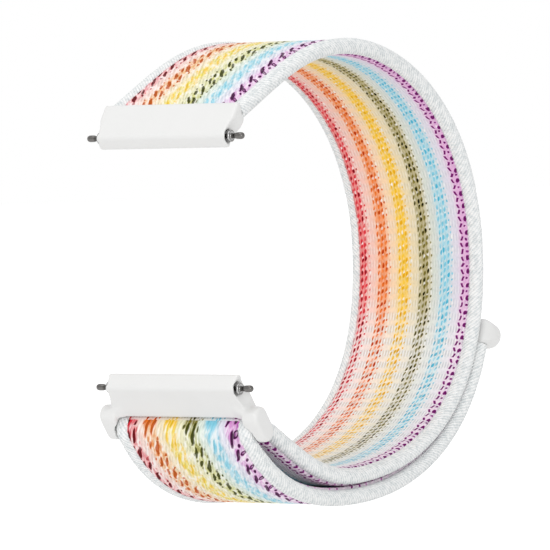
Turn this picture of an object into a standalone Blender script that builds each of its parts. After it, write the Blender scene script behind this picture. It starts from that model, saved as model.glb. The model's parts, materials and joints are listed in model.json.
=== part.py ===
"""Hook and loop watch strap, closed into its loop.

A woven ribbon leaves the upper end link, runs round the wrist, folds over the
cross-bar of the lower end link and lies back on itself, where a hook patch
holds it.  A round pull tab closes its free end.  Each end link turns on a
spring bar whose two sprung tips stand in the watch's lugs.

Frame: X runs along the spring bars, Y points from the watch to the far side
of the wrist, Z points up.  The origin lies midway between the two spring bars.
The ribbon is planar, so its route is drawn once in the Y, Z plane and every
piece of it is swept along a stretch of that route.
"""

import math

import bmesh
import bpy
import numpy as np
from mathutils import Vector

MM = 0.001

# Driving sizes of the whole strap
LUG_WIDTH = 20.0 * MM          # between the watch's lugs, and the ribbon's width
PIN_SPACING = 31.0 * MM        # between the two spring bars
LOOP_DEPTH = 61.0 * MM         # spring bars to the ribbon's centre line at the back
LOOP_TOP = 25.9 * MM           # centre line at the top, above the origin
LOOP_BOTTOM = 28.9 * MM        # centre line at the bottom, below the origin
LOOP_CROWN_Y = 28.5 * MM       # where the loop is highest and lowest
BACK_DROP = 2.4 * MM           # the backmost point lies this far below the origin
CLOSURE_LENGTH = 39.1 * MM     # tail pressed on the band, lowest point to tab

# Ribbon section
CORD_RADIUS = 1.05 * MM        # rolled edge on each side
WEB_THICKNESS = 1.7 * MM       # woven middle, a little thinner than its edges
SEAT_GAP = 0.3 * MM            # between pieces that touch
LAYER_PITCH = 2.6 * MM         # centre line to centre line where the tail is pressed on
TONGUE_THICKNESS = 0.75 * MM   # ribbon end where a link or the tab grips it
TONGUE_GAP = 0.2 * MM          # tongue to the pocket that holds it

# Headings of the ribbon's centre line, in degrees above +Y
EXIT_HEADING = 22.7
FOLD_IN_HEADING = 152.4
FOLD_OUT_HEADING = -49.0

# Curve handles as shares of each stretch's chord
TOP_FRONT_HANDLE_SHARES = (0.39, 0.385)
TOP_BACK_HANDLE_SHARES = (0.35, 0.43)
LOW_BACK_HANDLE_SHARES = (0.44, 0.44)
LOW_FRONT_HANDLE_SHARES = (0.39, 0.375)
TAIL_HANDLE_SHARES = (0.36, 0.39)

# End links: both noses are the same wedge round the spring bar
FACE_SLOPE = 53.0              # front face to the horizontal, degrees
NOSE_ANGLE = 110.0             # between the front face and the lug-side facet
NOSE_WALL = 0.47 * MM          # least wall between a bore and a face
FACET_LENGTH = 2.1 * MM
LINK_SIDE_GAP = 0.15 * MM      # link to lug on each side
LINK_EDGE = 0.4 * MM           # rounding of the moulded corners along the bar
LINK_RIM = 0.2 * MM            # rounding of the edges round each end face
SCOOP_RADIUS = 2.4 * MM        # conical hollow at a nose's end that bares the flange
SCOOP_DEPTH = 0.6 * MM

# Upper link
EXIT_Y = 2.6 * MM              # ribbon's centre line at the mouth, from the pin
EXIT_Z = 2.85 * MM
MOUTH_REACH = 1.1 * MM         # mouth below the centre line, on the wrist side
POCKET_DEPTH = 1.2 * MM

# Lower link
BAR_ALONG = 6.4 * MM           # cross-bar from the pin, along the front face
BAR_OUT = 0.5 * MM             # cross-bar from the pin, out of the wrist
BAR_RADIUS = 0.55 * MM
BAR_GAP = 0.2 * MM             # cross-bar to the folded ribbon
FOLD_THICKNESS = 1.5 * MM      # ribbon squeezed round the cross-bar
FOLD_RAMP = 5.0 * MM           # length over which the ribbon swells again
FOLD_GAP = 0.3 * MM            # folded ribbon to the link's body
LINK_BACK = 1.35 * MM          # pin to the body's wrist side
EAR_GAP = 0.25 * MM            # ribbon to ear
EAR_THICKNESS = 1.4 * MM
EAR_ROOT_ALONG = 3.95 * MM     # ear's two round ends from the pin, along the front face
EAR_TIP_ALONG = 6.2 * MM
EAR_OUT = 0.85 * MM            # both from the pin, out of the wrist
EAR_RADIUS = 1.4 * MM
EAR_RIM = 0.4 * MM             # rounding of an ear's edges
SLOT_CORNER = 1.2 * MM

# Spring bars
TIP_REACH = 1.5 * MM           # tip beyond the lug's face at rest
TUBE_RADIUS = 0.65 * MM
TUBE_WALL = 0.2 * MM
TUBE_SETBACK = 2.2 * MM        # tube's end inside the lug's face
TUBE_RUN = 0.05 * MM           # tube to the link's bore
CRIMP_LENGTH = 0.4 * MM
CRIMP_RADIUS = 0.36 * MM
TIP_TRAVEL = 1.5 * MM
SHANK_RADIUS = 0.3 * MM
SHOULDER_RADIUS = 0.4 * MM
SHOULDER_LENGTH = 0.4 * MM
SHOULDER_GAP = 0.1 * MM        # shoulder to crimp at rest
FLANGE_RADIUS = 0.75 * MM
FLANGE_THICKNESS = 0.3 * MM
FLANGE_RUN = 0.1 * MM          # flange to its counterbore
FLANGE_STOP = 0.15 * MM        # flange to tube when pushed home
NECK_RADIUS = 0.36 * MM
NECK_LENGTH = 0.35 * MM
TIP_RADIUS = 0.43 * MM
TIP_ROUND = 0.15 * MM
SPRING_WIRE = 0.2 * MM         # wire diameter
SPRING_RADIUS = 0.27 * MM      # coil's centre line
SPRING_PITCH = 1.05 * MM

# Pull tab
TAB_RADIUS = 1.7 * MM
TAB_RISE = 1.4 * MM            # bead's centre above the tail's centre line
TAB_BASE = 1.05 * MM           # tab's foot below the tail's centre line
TAB_OVERHANG = 1.0 * MM        # bead's end beyond the ribbon's edge
TAB_DOME = 1.7 * MM
TAB_FOOT_ROUND = 0.4 * MM
TAB_POCKET = 1.3 * MM

# Hook patch
HOOK_THICKNESS = 0.3 * MM
HOOK_MARGIN = 0.8 * MM         # patch edge to web edge
HOOK_SETBACK = 3.0 * MM        # patch to peel line, and patch to tab

# Bending places of the ribbon
TAIL_HINGE_RUN = 5.2 * MM      # from the fold to where the tail starts to swing
PEEL_SHARE = 0.45              # of the tail, from its swing line to its end
KNUCKLE_GAP = 0.3 * MM

# Overrun of every cutter past what it cuts
OVERRUN = 0.5 * MM

# Fineness
MAX_STEP = 3.4 * MM
WEB_ROW_SHARES = (1, 0.7, 0, -0.7, -1)
DOME_SHARES = (0.0, 0.35, 0.62, 0.82, 0.95, 0.995)
MAX_TURN = 18.0                # degrees per step round the fold
FINE_POINTS = 160
ROUND_SEGMENTS = 20
CORNER_SEGMENTS = 3
LOBE_SEGMENTS = 12
CURL_POINTS = 8
SHARP_ANGLE = 35.0

# Values that follow
HALF_LUG = LUG_WIDTH / 2
CORD_X = HALF_LUG - CORD_RADIUS
WEB_HALF_WIDTH = HALF_LUG - 2 * CORD_RADIUS - SEAT_GAP
TIP_SPAN = LUG_WIDTH + 2 * TIP_REACH
TUBE_LENGTH = LUG_WIDTH - 2 * TUBE_SETBACK
FOLD_RADIUS = BAR_RADIUS + BAR_GAP + FOLD_THICKNESS / 2
BORE_RADIUS = TUBE_RADIUS + TUBE_RUN
COUNTERBORE_RADIUS = FLANGE_RADIUS + FLANGE_RUN
NOSE_REACH = BORE_RADIUS + NOSE_WALL
LINK_HALF_WIDTH = HALF_LUG - LINK_SIDE_GAP
EAR_INNER_X = HALF_LUG + EAR_GAP
EAR_OUTER_X = EAR_INNER_X + EAR_THICKNESS
FOLD_CAVITY = FOLD_RADIUS + FOLD_THICKNESS / 2 + FOLD_GAP
UPPER_PIN = np.array([0.0, PIN_SPACING / 2])
LOWER_PIN = np.array([0.0, -PIN_SPACING / 2])


def unit(degrees):
    """Direction in the Y, Z plane at an angle above +Y."""
    return np.array([math.cos(math.radians(degrees)), math.sin(math.radians(degrees))])


def left_of(direction):
    """Direction turned a quarter turn to the left."""
    return np.array([-direction[1], direction[0]])


FACE_UP = unit(FACE_SLOPE)               # up the upper link's front face
FACE_OUT = left_of(FACE_UP)              # out of the upper link's front face
MIRROR_Z = np.array([1.0, -1.0])
LOW_FACE_ALONG = FACE_UP * MIRROR_Z      # down the lower link's front face
LOW_FACE_OUT = FACE_OUT * MIRROR_Z
CROSS_BAR = LOWER_PIN + BAR_ALONG * LOW_FACE_ALONG + BAR_OUT * LOW_FACE_OUT
MOUTH = UPPER_PIN + np.array([EXIT_Y, EXIT_Z])


# Scene and objects

def clear_scene():
    for item in list(bpy.data.objects):
        bpy.data.objects.remove(item, do_unlink=True)


def make_material(name, colour, roughness, metallic=0.0):
    material = bpy.data.materials.new(name)
    material.use_nodes = True
    shader = material.node_tree.nodes["Principled BSDF"]
    shader.inputs["Base Color"].default_value = (*colour, 1.0)
    shader.inputs["Roughness"].default_value = roughness
    shader.inputs["Metallic"].default_value = metallic
    material.diffuse_color = (*colour, 1.0)
    return material


def place(bm, name, material, pivot=(0.0, 0.0)):
    """Make an object of a mesh built in world places, its origin on the pivot."""
    origin = Vector((0.0, pivot[0], pivot[1]))
    bmesh.ops.translate(bm, verts=bm.verts, vec=-origin)
    bmesh.ops.recalc_face_normals(bm, faces=bm.faces)
    mesh = bpy.data.meshes.new(name)
    bm.to_mesh(mesh)
    bm.free()
    mesh.shade_smooth()
    mesh.set_sharp_from_angle(angle=math.radians(SHARP_ANGLE))
    item = bpy.data.objects.new(name, mesh)
    item.location = origin
    if material:
        mesh.materials.append(material)
    bpy.context.scene.collection.objects.link(item)
    return item


def cutter(bm, name):
    item = place(bm, name, None)
    item.hide_render = True
    item.display_type = "WIRE"
    return item


def add_boolean(item, other, operation):
    modifier = item.modifiers.new(other.name, "BOOLEAN")
    modifier.object = other
    modifier.operation = operation
    modifier.solver = "EXACT"


# Route of the ribbon

class Route:
    """A line in the Y, Z plane, read by its length from the start."""

    def __init__(self):
        self.points = []
        self.marks = {}

    def add(self, points, mark=None):
        for point in points:
            if not self.points or np.linalg.norm(point - self.points[-1]) > 0:
                self.points.append(point)
        if mark:
            self.marks[mark] = len(self.points) - 1

    def close(self):
        points = np.array(self.points)
        steps = np.linalg.norm(np.diff(points, axis=0), axis=1)
        self.run = np.concatenate([[0.0], np.cumsum(steps)])
        slopes = np.gradient(points, self.run, axis=0)
        self.heading = np.unwrap(np.arctan2(slopes[:, 1], slopes[:, 0]))
        self.points = points
        self.marks = {name: self.run[at] for name, at in self.marks.items()}
        turn = np.concatenate([[0.0], np.cumsum(np.abs(np.diff(self.heading)))])
        self.measure = self.run / MAX_STEP + turn / math.radians(MAX_TURN)

    def at(self, run):
        return np.array([np.interp(run, self.run, self.points[:, k]) for k in (0, 1)])

    def direction(self, run):
        heading = np.interp(run, self.run, self.heading)
        return np.array([math.cos(heading), math.sin(heading)])

    def stations(self, start, end):
        """Places between start and end, closer together where the line bends."""
        first, last = np.interp((start, end), self.run, self.measure)
        count = max(2, math.ceil(last - first) + 1)
        wanted = np.linspace(first, last, count)
        return np.interp(wanted, self.measure, self.run)


def curve_between(start, start_heading, end, end_heading, handle_shares):
    """Points of a smooth curve with given ends and headings."""
    chord = np.linalg.norm(end - start)
    first = start + handle_shares[0] * chord * unit(start_heading)
    second = end - handle_shares[1] * chord * unit(end_heading)
    t = np.linspace(0.0, 1.0, FINE_POINTS)[:, None]
    return (
        (1 - t) ** 3 * start + 3 * (1 - t) ** 2 * t * first
        + 3 * (1 - t) * t ** 2 * second + t ** 3 * end
    )


def fold_point(heading):
    """Centre line round the cross-bar, which stays on its left."""
    return CROSS_BAR - FOLD_RADIUS * left_of(unit(heading))


def lay_on(points):
    """The tail's line over a stretch of band, one layer further out, run back."""
    steps = np.gradient(points, axis=0)
    steps /= np.linalg.norm(steps, axis=1)[:, None]
    outward = np.stack([-steps[:, 1], steps[:, 0]], axis=-1)
    return (points + LAYER_PITCH * outward)[::-1]


def cut_to_length(points, length):
    """The first part of a line, of the length asked for."""
    run = np.concatenate([[0.0], np.cumsum(np.linalg.norm(np.diff(points, axis=0), axis=1))])
    wanted = np.linspace(0.0, min(length, run[-1]), FINE_POINTS)
    return np.stack([np.interp(wanted, run, points[:, k]) for k in (0, 1)], axis=-1)


def ribbon_route():
    """Upper link, top, back, bottom, round the cross-bar, and out along the tail."""
    crown = np.array([LOOP_CROWN_Y, LOOP_TOP])
    back = np.array([LOOP_DEPTH, -BACK_DROP])
    low = np.array([LOOP_CROWN_Y, -LOOP_BOTTOM])
    inside = MOUTH - POCKET_DEPTH * unit(EXIT_HEADING)
    low_back = curve_between(back, -90, low, -180, LOW_BACK_HANDLE_SHARES)
    tail_low = low - np.array([0.0, LAYER_PITCH])
    fold_turn = np.linspace(FOLD_IN_HEADING, 360 + FOLD_OUT_HEADING, FINE_POINTS)
    fold = np.array([fold_point(heading) for heading in fold_turn])

    route = Route()
    route.add([inside, MOUTH], "mouth")
    route.add(curve_between(MOUTH, EXIT_HEADING, crown, 0, TOP_FRONT_HANDLE_SHARES), "crown")
    route.add(curve_between(crown, 0, back, -90, TOP_BACK_HANDLE_SHARES), "back")
    route.add(low_back, "low")
    route.add(
        curve_between(low, -180, fold[0], FOLD_IN_HEADING, LOW_FRONT_HANDLE_SHARES), "fold_in"
    )
    route.add(fold, "fold_out")
    route.add(
        curve_between(fold[-1], FOLD_OUT_HEADING, tail_low, 0, TAIL_HANDLE_SHARES), "tail_low"
    )
    route.add(cut_to_length(lay_on(low_back), CLOSURE_LENGTH), "tail_end")
    route.close()
    return route


def smooth_step(value, low, high):
    t = min(1.0, max(0.0, (value - low) / (high - low)))
    return t * t * (3 - 2 * t)


def fold_squeeze(route):
    """Thickness along the route, as a share of full, squeezed round the cross-bar."""
    squeezed_share = FOLD_THICKNESS / (2 * CORD_RADIUS)
    into, out = route.marks["fold_in"], route.marks["fold_out"]

    def thickness_share(run):
        before = smooth_step(run, into - FOLD_RAMP, into)
        after = 1 - smooth_step(run, out, out + FOLD_RAMP)
        return 1 - (1 - squeezed_share) * min(before, after)

    return thickness_share


def gripped_ends(route, full_thickness):
    """As fold_squeeze, and thinned to a tongue in the link's mouth and in the tab."""
    squeeze = fold_squeeze(route)
    tongue_share = TONGUE_THICKNESS / full_thickness
    mouth, end = route.marks["mouth"], route.marks["tail_end"]

    def thickness_share(run):
        ramp = full_thickness
        near = smooth_step(run, mouth + SEAT_GAP, mouth + SEAT_GAP + ramp)
        last = smooth_step(end - run, SEAT_GAP, SEAT_GAP + ramp)
        return squeeze(run) * (tongue_share + (1 - tongue_share) * min(near, last))

    return thickness_share


# Sweeping a section along the route

def web_rows():
    half = WEB_THICKNESS / 2
    return [(half * share, WEB_HALF_WIDTH) for share in WEB_ROW_SHARES]


def cord_rows():
    angles = [math.radians(22.5 + 45 * k) for k in range(4)]
    return [(CORD_RADIUS * math.cos(a), CORD_RADIUS * math.sin(a)) for a in angles]


def patch_rows():
    inner = WEB_THICKNESS / 2 + SEAT_GAP
    half = WEB_HALF_WIDTH - HOOK_MARGIN
    return [(inner + HOOK_THICKNESS, half), (inner, half)]


def swept(route, rows, start, end, x_centre=0.0, thickness_share=None,
          knuckle=False, socket=False):
    """Sweep a section of rows (height, half width) along the route.

    A knuckle is a round end that starts on a bending line; a socket is the
    hollow end, on the same line, that the next piece's knuckle turns in.
    """
    share_at = thickness_share or (lambda run: 1.0)
    bm = bmesh.new()
    reach = max(abs(height) for height, _ in rows)
    runs = list(route.stations(start, end))
    if socket:
        hollow = reach * share_at(end) + KNUCKLE_GAP
        runs = [run for run in runs[:-1] if run < end - 2 * hollow] + [end]
    rings = []
    for index, run in enumerate(runs):
        ring = []
        for height, half_width in rows:
            height = height * share_at(run)
            shifted = run
            if knuckle and index == 0:
                round_end = reach * share_at(run)
                shifted = run - math.sqrt(max(0.0, round_end ** 2 - height ** 2))
            if socket and index == len(runs) - 1:
                shifted = run - math.sqrt(hollow ** 2 - height ** 2)
            point = route.at(shifted) + height * left_of(route.direction(shifted))
            pair = [bm.verts.new((x_centre + side * half_width, *point)) for side in (1, -1)]
            ring.append(pair)
        rings.append(ring)
    for a, b in zip(rings, rings[1:]):
        loop_a = [pair[0] for pair in a] + [pair[1] for pair in reversed(a)]
        loop_b = [pair[0] for pair in b] + [pair[1] for pair in reversed(b)]
        for k in range(len(loop_a)):
            after = (k + 1) % len(loop_a)
            bm.faces.new((loop_a[k], loop_a[after], loop_b[after], loop_b[k]))
    for ring in (rings[0], rings[-1]):
        for upper, lower in zip(ring, ring[1:]):
            bm.faces.new((upper[0], lower[0], lower[1], upper[1]))
    return bm


def ribbon_pieces(route, name, start, end, fabric, edging, pivot, cord_start=None,
                  cord_end=None, knuckle=False, socket=False):
    """The web of one stretch of ribbon and its two rolled edges."""
    ends = {"knuckle": knuckle, "socket": socket}
    web_share = gripped_ends(route, WEB_THICKNESS)
    cord_share = fold_squeeze(route)
    web = swept(route, web_rows(), start, end, thickness_share=web_share, **ends)
    place(web, f"{name}_web", fabric, pivot)
    first = start if cord_start is None else cord_start
    last = end if cord_end is None else cord_end
    for side, label in ((-1, "left"), (1, "right")):
        cord = swept(
            route, cord_rows(), first, last, x_centre=side * CORD_X,
            thickness_share=cord_share, **ends,
        )
        place(cord, f"{name}_{label}_edge", edging, pivot)


# Outlines and solids of the links

def rounded(corners, radius):
    """An outline whose corners are rounded by short arcs."""
    outline = []
    count = len(corners)
    for k in range(count):
        before, here, after = corners[k - 1], corners[k], corners[(k + 1) % count]
        back = (before - here) / np.linalg.norm(before - here)
        ahead = (after - here) / np.linalg.norm(after - here)
        half = math.acos(max(-1.0, min(1.0, float(back @ ahead)))) / 2
        room = min(np.linalg.norm(before - here), np.linalg.norm(after - here)) / 2
        cut = min(radius / math.tan(half), room)
        bend = cut * math.tan(half)
        middle = (back + ahead) / np.linalg.norm(back + ahead)
        centre = here + middle * bend / math.sin(half)
        a, b = here + back * cut - centre, here + ahead * cut - centre
        for step in range(CORNER_SEGMENTS + 1):
            t = step / CORNER_SEGMENTS
            arm = a * (1 - t) + b * t
            outline.append(centre + arm * bend / np.linalg.norm(arm))
    return outline


def prism(outline, x_from, x_to, edge_round=0.0):
    """Extrude a Y, Z outline along X, with its end edges rounded if asked."""
    bm = bmesh.new()
    ends = [[bm.verts.new((x, *point)) for point in outline] for x in (x_from, x_to)]
    caps = [bm.faces.new(ring) for ring in ends]
    count = len(outline)
    for k in range(count):
        after = (k + 1) % count
        bm.faces.new((ends[0][k], ends[0][after], ends[1][after], ends[1][k]))
    bmesh.ops.recalc_face_normals(bm, faces=bm.faces)
    if edge_round:
        rims = {edge for cap in caps for edge in cap.edges}
        bmesh.ops.bevel(
            bm, geom=list(rims), offset=edge_round, segments=CORNER_SEGMENTS,
            profile=0.5, affect="EDGES", clamp_overlap=True,
        )
    return bm


def turned(profile, centre, segments=ROUND_SEGMENTS):
    """Turn a profile of (x, radius) pairs about an X axis through centre."""
    bm = bmesh.new()
    rings = []
    for x, radius in profile:
        if radius == 0:
            rings.append([bm.verts.new((x, *centre))])
            continue
        ring = []
        for k in range(segments):
            angle = 360 * k / segments
            ring.append(bm.verts.new((x, *(centre + radius * unit(angle)))))
        rings.append(ring)
    loops = list(zip(rings, rings[1:]))
    if len(rings[0]) > 1:
        loops.append((rings[-1], rings[0]))
    for a, b in loops:
        for k in range(segments):
            after = (k + 1) % segments
            if len(a) == 1:
                bm.faces.new((a[0], b[after], b[k]))
            elif len(b) == 1:
                bm.faces.new((a[k], a[after], b[0]))
            else:
                bm.faces.new((a[k], a[after], b[after], b[k]))
    return bm


def joined(*parts):
    """Several meshes as one, their bodies kept apart."""
    whole = bmesh.new()
    for part in parts:
        mesh = bpy.data.meshes.new("part")
        part.to_mesh(mesh)
        part.free()
        whole.from_mesh(mesh)
        bpy.data.meshes.remove(mesh)
    return whole


def nose_corner():
    """The wedge's tip from its pin, as (along the face, out of the face)."""
    return np.array([-NOSE_REACH / math.tan(math.radians(NOSE_ANGLE / 2)), NOSE_REACH])


def facet_corner():
    """The facet's far end from the pin, in the face's own axes."""
    return nose_corner() + FACET_LENGTH * unit(-NOSE_ANGLE)


def upper_frame(pair):
    return UPPER_PIN + pair[0] * FACE_UP + pair[1] * FACE_OUT


def lower_frame(pair):
    return LOWER_PIN + pair[0] * LOW_FACE_ALONG + pair[1] * LOW_FACE_OUT


def pin_cutter(centre, name):
    """Bore for the tube, counterbores for the flanges and conical hollows at both ends."""
    home = TUBE_LENGTH / 2 + TUBE_RUN
    scoop = LINK_HALF_WIDTH - SCOOP_DEPTH
    past = LINK_HALF_WIDTH + OVERRUN
    half = [
        (home, BORE_RADIUS), (home, COUNTERBORE_RADIUS), (scoop, COUNTERBORE_RADIUS),
        (LINK_HALF_WIDTH, SCOOP_RADIUS), (past, SCOOP_RADIUS), (past, 0.0),
    ]
    profile = [(-x, radius) for x, radius in reversed(half)] + half
    return cutter(turned(profile, centre), name)


def upper_link(plastic):
    """Wedge-shaped end link with the mouth that grips the ribbon's fixed end."""
    heading = unit(EXIT_HEADING)
    across = left_of(heading)
    rise = (NOSE_REACH - float((MOUTH - UPPER_PIN) @ FACE_OUT)) / float(across @ FACE_OUT)
    corners = [
        upper_frame(nose_corner()),
        MOUTH + rise * across,
        MOUTH - MOUTH_REACH * across,
        upper_frame(facet_corner()),
    ]
    body = prism(rounded(corners, LINK_EDGE), -LINK_HALF_WIDTH, LINK_HALF_WIDTH, LINK_RIM)
    link = place(body, "upper_end_link", plastic)
    half = TONGUE_THICKNESS / 2 + TONGUE_GAP
    pocket = [
        MOUTH + along * heading + side * half * across
        for along, side in ((-POCKET_DEPTH, -1), (OVERRUN, -1), (OVERRUN, 1), (-POCKET_DEPTH, 1))
    ]
    reach = WEB_HALF_WIDTH + TONGUE_GAP
    add_boolean(link, cutter(prism(pocket, -reach, reach), "mouth_cutter"), "DIFFERENCE")
    add_boolean(link, pin_cutter(UPPER_PIN, "upper_pin_cutter"), "DIFFERENCE")
    return link


def arc_points(centre, radius, start, end, count):
    return [centre + radius * unit(angle) for angle in np.linspace(start, end, count)]


def ear_outline():
    """Outline of an ear: two half circles and the lines between them."""
    root = np.array([EAR_ROOT_ALONG, EAR_OUT])
    tip = np.array([EAR_TIP_ALONG, EAR_OUT])
    near = arc_points(root, EAR_RADIUS, 90, 270, LOBE_SEGMENTS)
    far = arc_points(tip, EAR_RADIUS, 270, 450, LOBE_SEGMENTS)
    return [lower_frame(pair) for pair in near + far]


def slot_outline():
    """Room for the folded ribbon: a round cavity open towards the ribbon."""
    centre = np.array([BAR_ALONG, BAR_OUT])
    end = BAR_ALONG + FOLD_CAVITY + OVERRUN
    arc = arc_points(centre, FOLD_CAVITY, 90, 270, LOBE_SEGMENTS)
    tail = [np.array([end, side * FOLD_CAVITY + BAR_OUT]) for side in (-1, 1)]
    return [lower_frame(pair) for pair in arc + tail]


def lower_link(plastic):
    """End link with two ears and the cross-bar that the ribbon folds over."""
    back_run = math.sqrt(FOLD_CAVITY ** 2 - (LINK_BACK + BAR_OUT) ** 2)
    corners = [
        nose_corner(),
        np.array([BAR_ALONG - BAR_RADIUS, NOSE_REACH]),
        np.array([BAR_ALONG - back_run, -LINK_BACK]),
        np.array([-NOSE_REACH, -LINK_BACK]),
        facet_corner(),
    ]
    outline = rounded([lower_frame(pair) for pair in corners], LINK_EDGE)
    body = prism(outline, -LINK_HALF_WIDTH, LINK_HALF_WIDTH, LINK_RIM)
    link = place(body, "lower_end_link", plastic, CROSS_BAR)

    inner = LINK_HALF_WIDTH - SCOOP_DEPTH
    ears = joined(*(
        prism(ear_outline(), side * inner, side * EAR_OUTER_X, EAR_RIM) for side in (-1, 1)
    ))
    slot = prism(slot_outline(), -EAR_INNER_X, EAR_INNER_X, SLOT_CORNER)
    bar_reach = EAR_INNER_X + EAR_THICKNESS / 2
    bar = turned(
        [(-bar_reach, 0.0), (-bar_reach, BAR_RADIUS), (bar_reach, BAR_RADIUS), (bar_reach, 0.0)],
        CROSS_BAR, LOBE_SEGMENTS,
    )
    add_boolean(link, cutter(ears, "ears_form"), "UNION")
    add_boolean(link, cutter(slot, "slot_cutter"), "DIFFERENCE")
    add_boolean(link, cutter(bar, "cross_bar_form"), "UNION")
    add_boolean(link, pin_cutter(LOWER_PIN, "lower_pin_cutter"), "DIFFERENCE")
    return link


# Spring bars

def spring_bar_tube(name, centre, steel):
    """Tube with both ends crimped inwards, which keeps the tips in."""
    end = TUBE_LENGTH / 2
    bore = TUBE_RADIUS - TUBE_WALL
    inside = end - CRIMP_LENGTH
    profile = [
        (-end, CRIMP_RADIUS), (-end, TUBE_RADIUS), (end, TUBE_RADIUS), (end, CRIMP_RADIUS),
        (inside, CRIMP_RADIUS), (inside, bore), (-inside, bore), (-inside, CRIMP_RADIUS),
    ]
    place(turned(profile, centre), name, steel, centre)


def tip_places():
    """Places along the bar where a tip's shoulder, flange and end lie."""
    shoulder = TUBE_LENGTH / 2 - CRIMP_LENGTH - SHOULDER_GAP
    flange = TUBE_LENGTH / 2 + FLANGE_STOP + TIP_TRAVEL
    return shoulder, flange, TIP_SPAN / 2


def spring_bar_tip(name, centre, side, steel):
    """Plunger: shoulder and shank in the tube, then flange, neck and tip."""
    shoulder, flange, end = tip_places()
    neck = flange + FLANGE_THICKNESS
    profile = [
        (shoulder - SHOULDER_LENGTH, 0.0), (shoulder - SHOULDER_LENGTH, SHOULDER_RADIUS),
        (shoulder, SHOULDER_RADIUS), (shoulder, SHANK_RADIUS), (flange, SHANK_RADIUS),
        (flange, FLANGE_RADIUS), (neck, FLANGE_RADIUS), (neck + NECK_LENGTH, NECK_RADIUS),
        (end - 2 * TIP_ROUND, TIP_RADIUS), (end - TIP_ROUND, TIP_RADIUS),
        (end, TIP_RADIUS - TIP_ROUND), (end, 0.0),
    ]
    place(turned([(side * x, radius) for x, radius in profile], centre), name, steel, centre)


def least_gap(points, wire, skip):
    """Least gap of a wound tube to itself, leaving out each point's neighbours."""
    points = np.array(points)
    least = math.inf
    for k in range(len(points) - skip):
        spans = np.linalg.norm(points[k + skip:] - points[k], axis=1)
        least = min(least, float(spans.min()))
    return least - wire


def bar_spring(name, centre, steel):
    """Coil spring between the two tips of a spring bar, as one unbroken wire."""
    shoulder, _, _ = tip_places()
    reach = shoulder - SHOULDER_LENGTH - SEAT_GAP - SPRING_WIRE
    curls = int(2 * reach / SPRING_PITCH)
    count = curls * CURL_POINTS
    half = curls * SPRING_PITCH / 2
    points = []
    for k in range(count + 1):
        y, z = centre + SPRING_RADIUS * unit(360 * k / CURL_POINTS)
        points.append((-half + 2 * half * k / count, y, z))
    first, last = points[0], points[-1]
    points.insert(0, (first[0] - SPRING_WIRE, *first[1:]))
    points.append((last[0] + SPRING_WIRE, *last[1:]))
    gap = least_gap(points, SPRING_WIRE, CURL_POINTS // 2)
    print(f"{name}: {curls} curls, least gap to itself {gap / MM:.2f} mm")

    curve = bpy.data.curves.new(name, "CURVE")
    curve.dimensions = "3D"
    curve.bevel_depth = SPRING_WIRE / 2
    curve.bevel_resolution = 1
    curve.use_fill_caps = True
    spline = curve.splines.new("POLY")
    spline.points.add(len(points) - 1)
    for target, (x, y, z) in zip(spline.points, points):
        target.co = (x, y - centre[0], z - centre[1], 1.0)
    curve.materials.append(steel)
    item = bpy.data.objects.new(name, curve)
    item.location = (0.0, *centre)
    bpy.context.scene.collection.objects.link(item)


def spring_bar(prefix, centre, steel):
    spring_bar_tube(f"{prefix}_spring_bar_tube", centre, steel)
    bar_spring(f"{prefix}_spring_bar_spring", centre, steel)
    for side, label in ((-1, "left"), (1, "right")):
        spring_bar_tip(f"{prefix}_spring_bar_{label}_tip", centre, side, steel)


# Closure

def tab_outline():
    """Section of the pull tab as (beyond the ribbon's end, out of the wrist)."""
    middle = np.array([TAB_RADIUS, TAB_RISE])
    crown = arc_points(middle, TAB_RADIUS, 0, 180, LOBE_SEGMENTS)
    foot = [
        np.array([0.0, TAB_FOOT_ROUND - TAB_BASE]), np.array([TAB_FOOT_ROUND, -TAB_BASE]),
        np.array([2 * TAB_RADIUS - TAB_FOOT_ROUND, -TAB_BASE]),
        np.array([2 * TAB_RADIUS, TAB_FOOT_ROUND - TAB_BASE]),
    ]
    return crown + foot, middle


def end_tab(route, plastic, pivot):
    """Pull tab: a bead with domed ends on a foot that grips the ribbon's end."""
    end = route.marks["tail_end"]
    origin, along = route.at(end), route.direction(end)
    outward = -left_of(along)
    outline, middle = tab_outline()
    full = HALF_LUG + TAB_OVERHANG - TAB_DOME
    sections = [
        (side * (full + TAB_DOME * share), math.sqrt(1 - share ** 2))
        for side, shares in ((-1, DOME_SHARES[::-1]), (1, DOME_SHARES))
        for share in shares
    ]
    bm = bmesh.new()
    rings = []
    for x, scale in sections:
        ring = []
        for pair in outline:
            s, n = middle + scale * (pair - middle)
            ring.append(bm.verts.new((x, *(origin + s * along + n * outward))))
        rings.append(ring)
    for a, b in zip(rings, rings[1:]):
        for k in range(len(a)):
            after = (k + 1) % len(a)
            bm.faces.new((a[k], a[after], b[after], b[k]))
    bm.faces.new(rings[0])
    bm.faces.new(rings[-1])
    tab = place(bm, "end_tab", plastic, pivot)

    half = TONGUE_THICKNESS / 2 + TONGUE_GAP
    pocket = [
        origin + s * along + side * half * outward
        for s, side in ((-OVERRUN, -1), (TAB_POCKET, -1), (TAB_POCKET, 1), (-OVERRUN, 1))
    ]
    reach = WEB_HALF_WIDTH + TONGUE_GAP
    add_boolean(tab, cutter(prism(pocket, -reach, reach), "tab_cutter"), "DIFFERENCE")


def hook_patch(route, peel, hooks, pivot):
    """Patch of hooks on the tail's wrist side, between the peel line and the tab."""
    end = route.marks["tail_end"] - HOOK_SETBACK
    patch = swept(route, patch_rows(), peel + HOOK_SETBACK, end)
    place(patch, "hook_patch", hooks, pivot)


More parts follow.
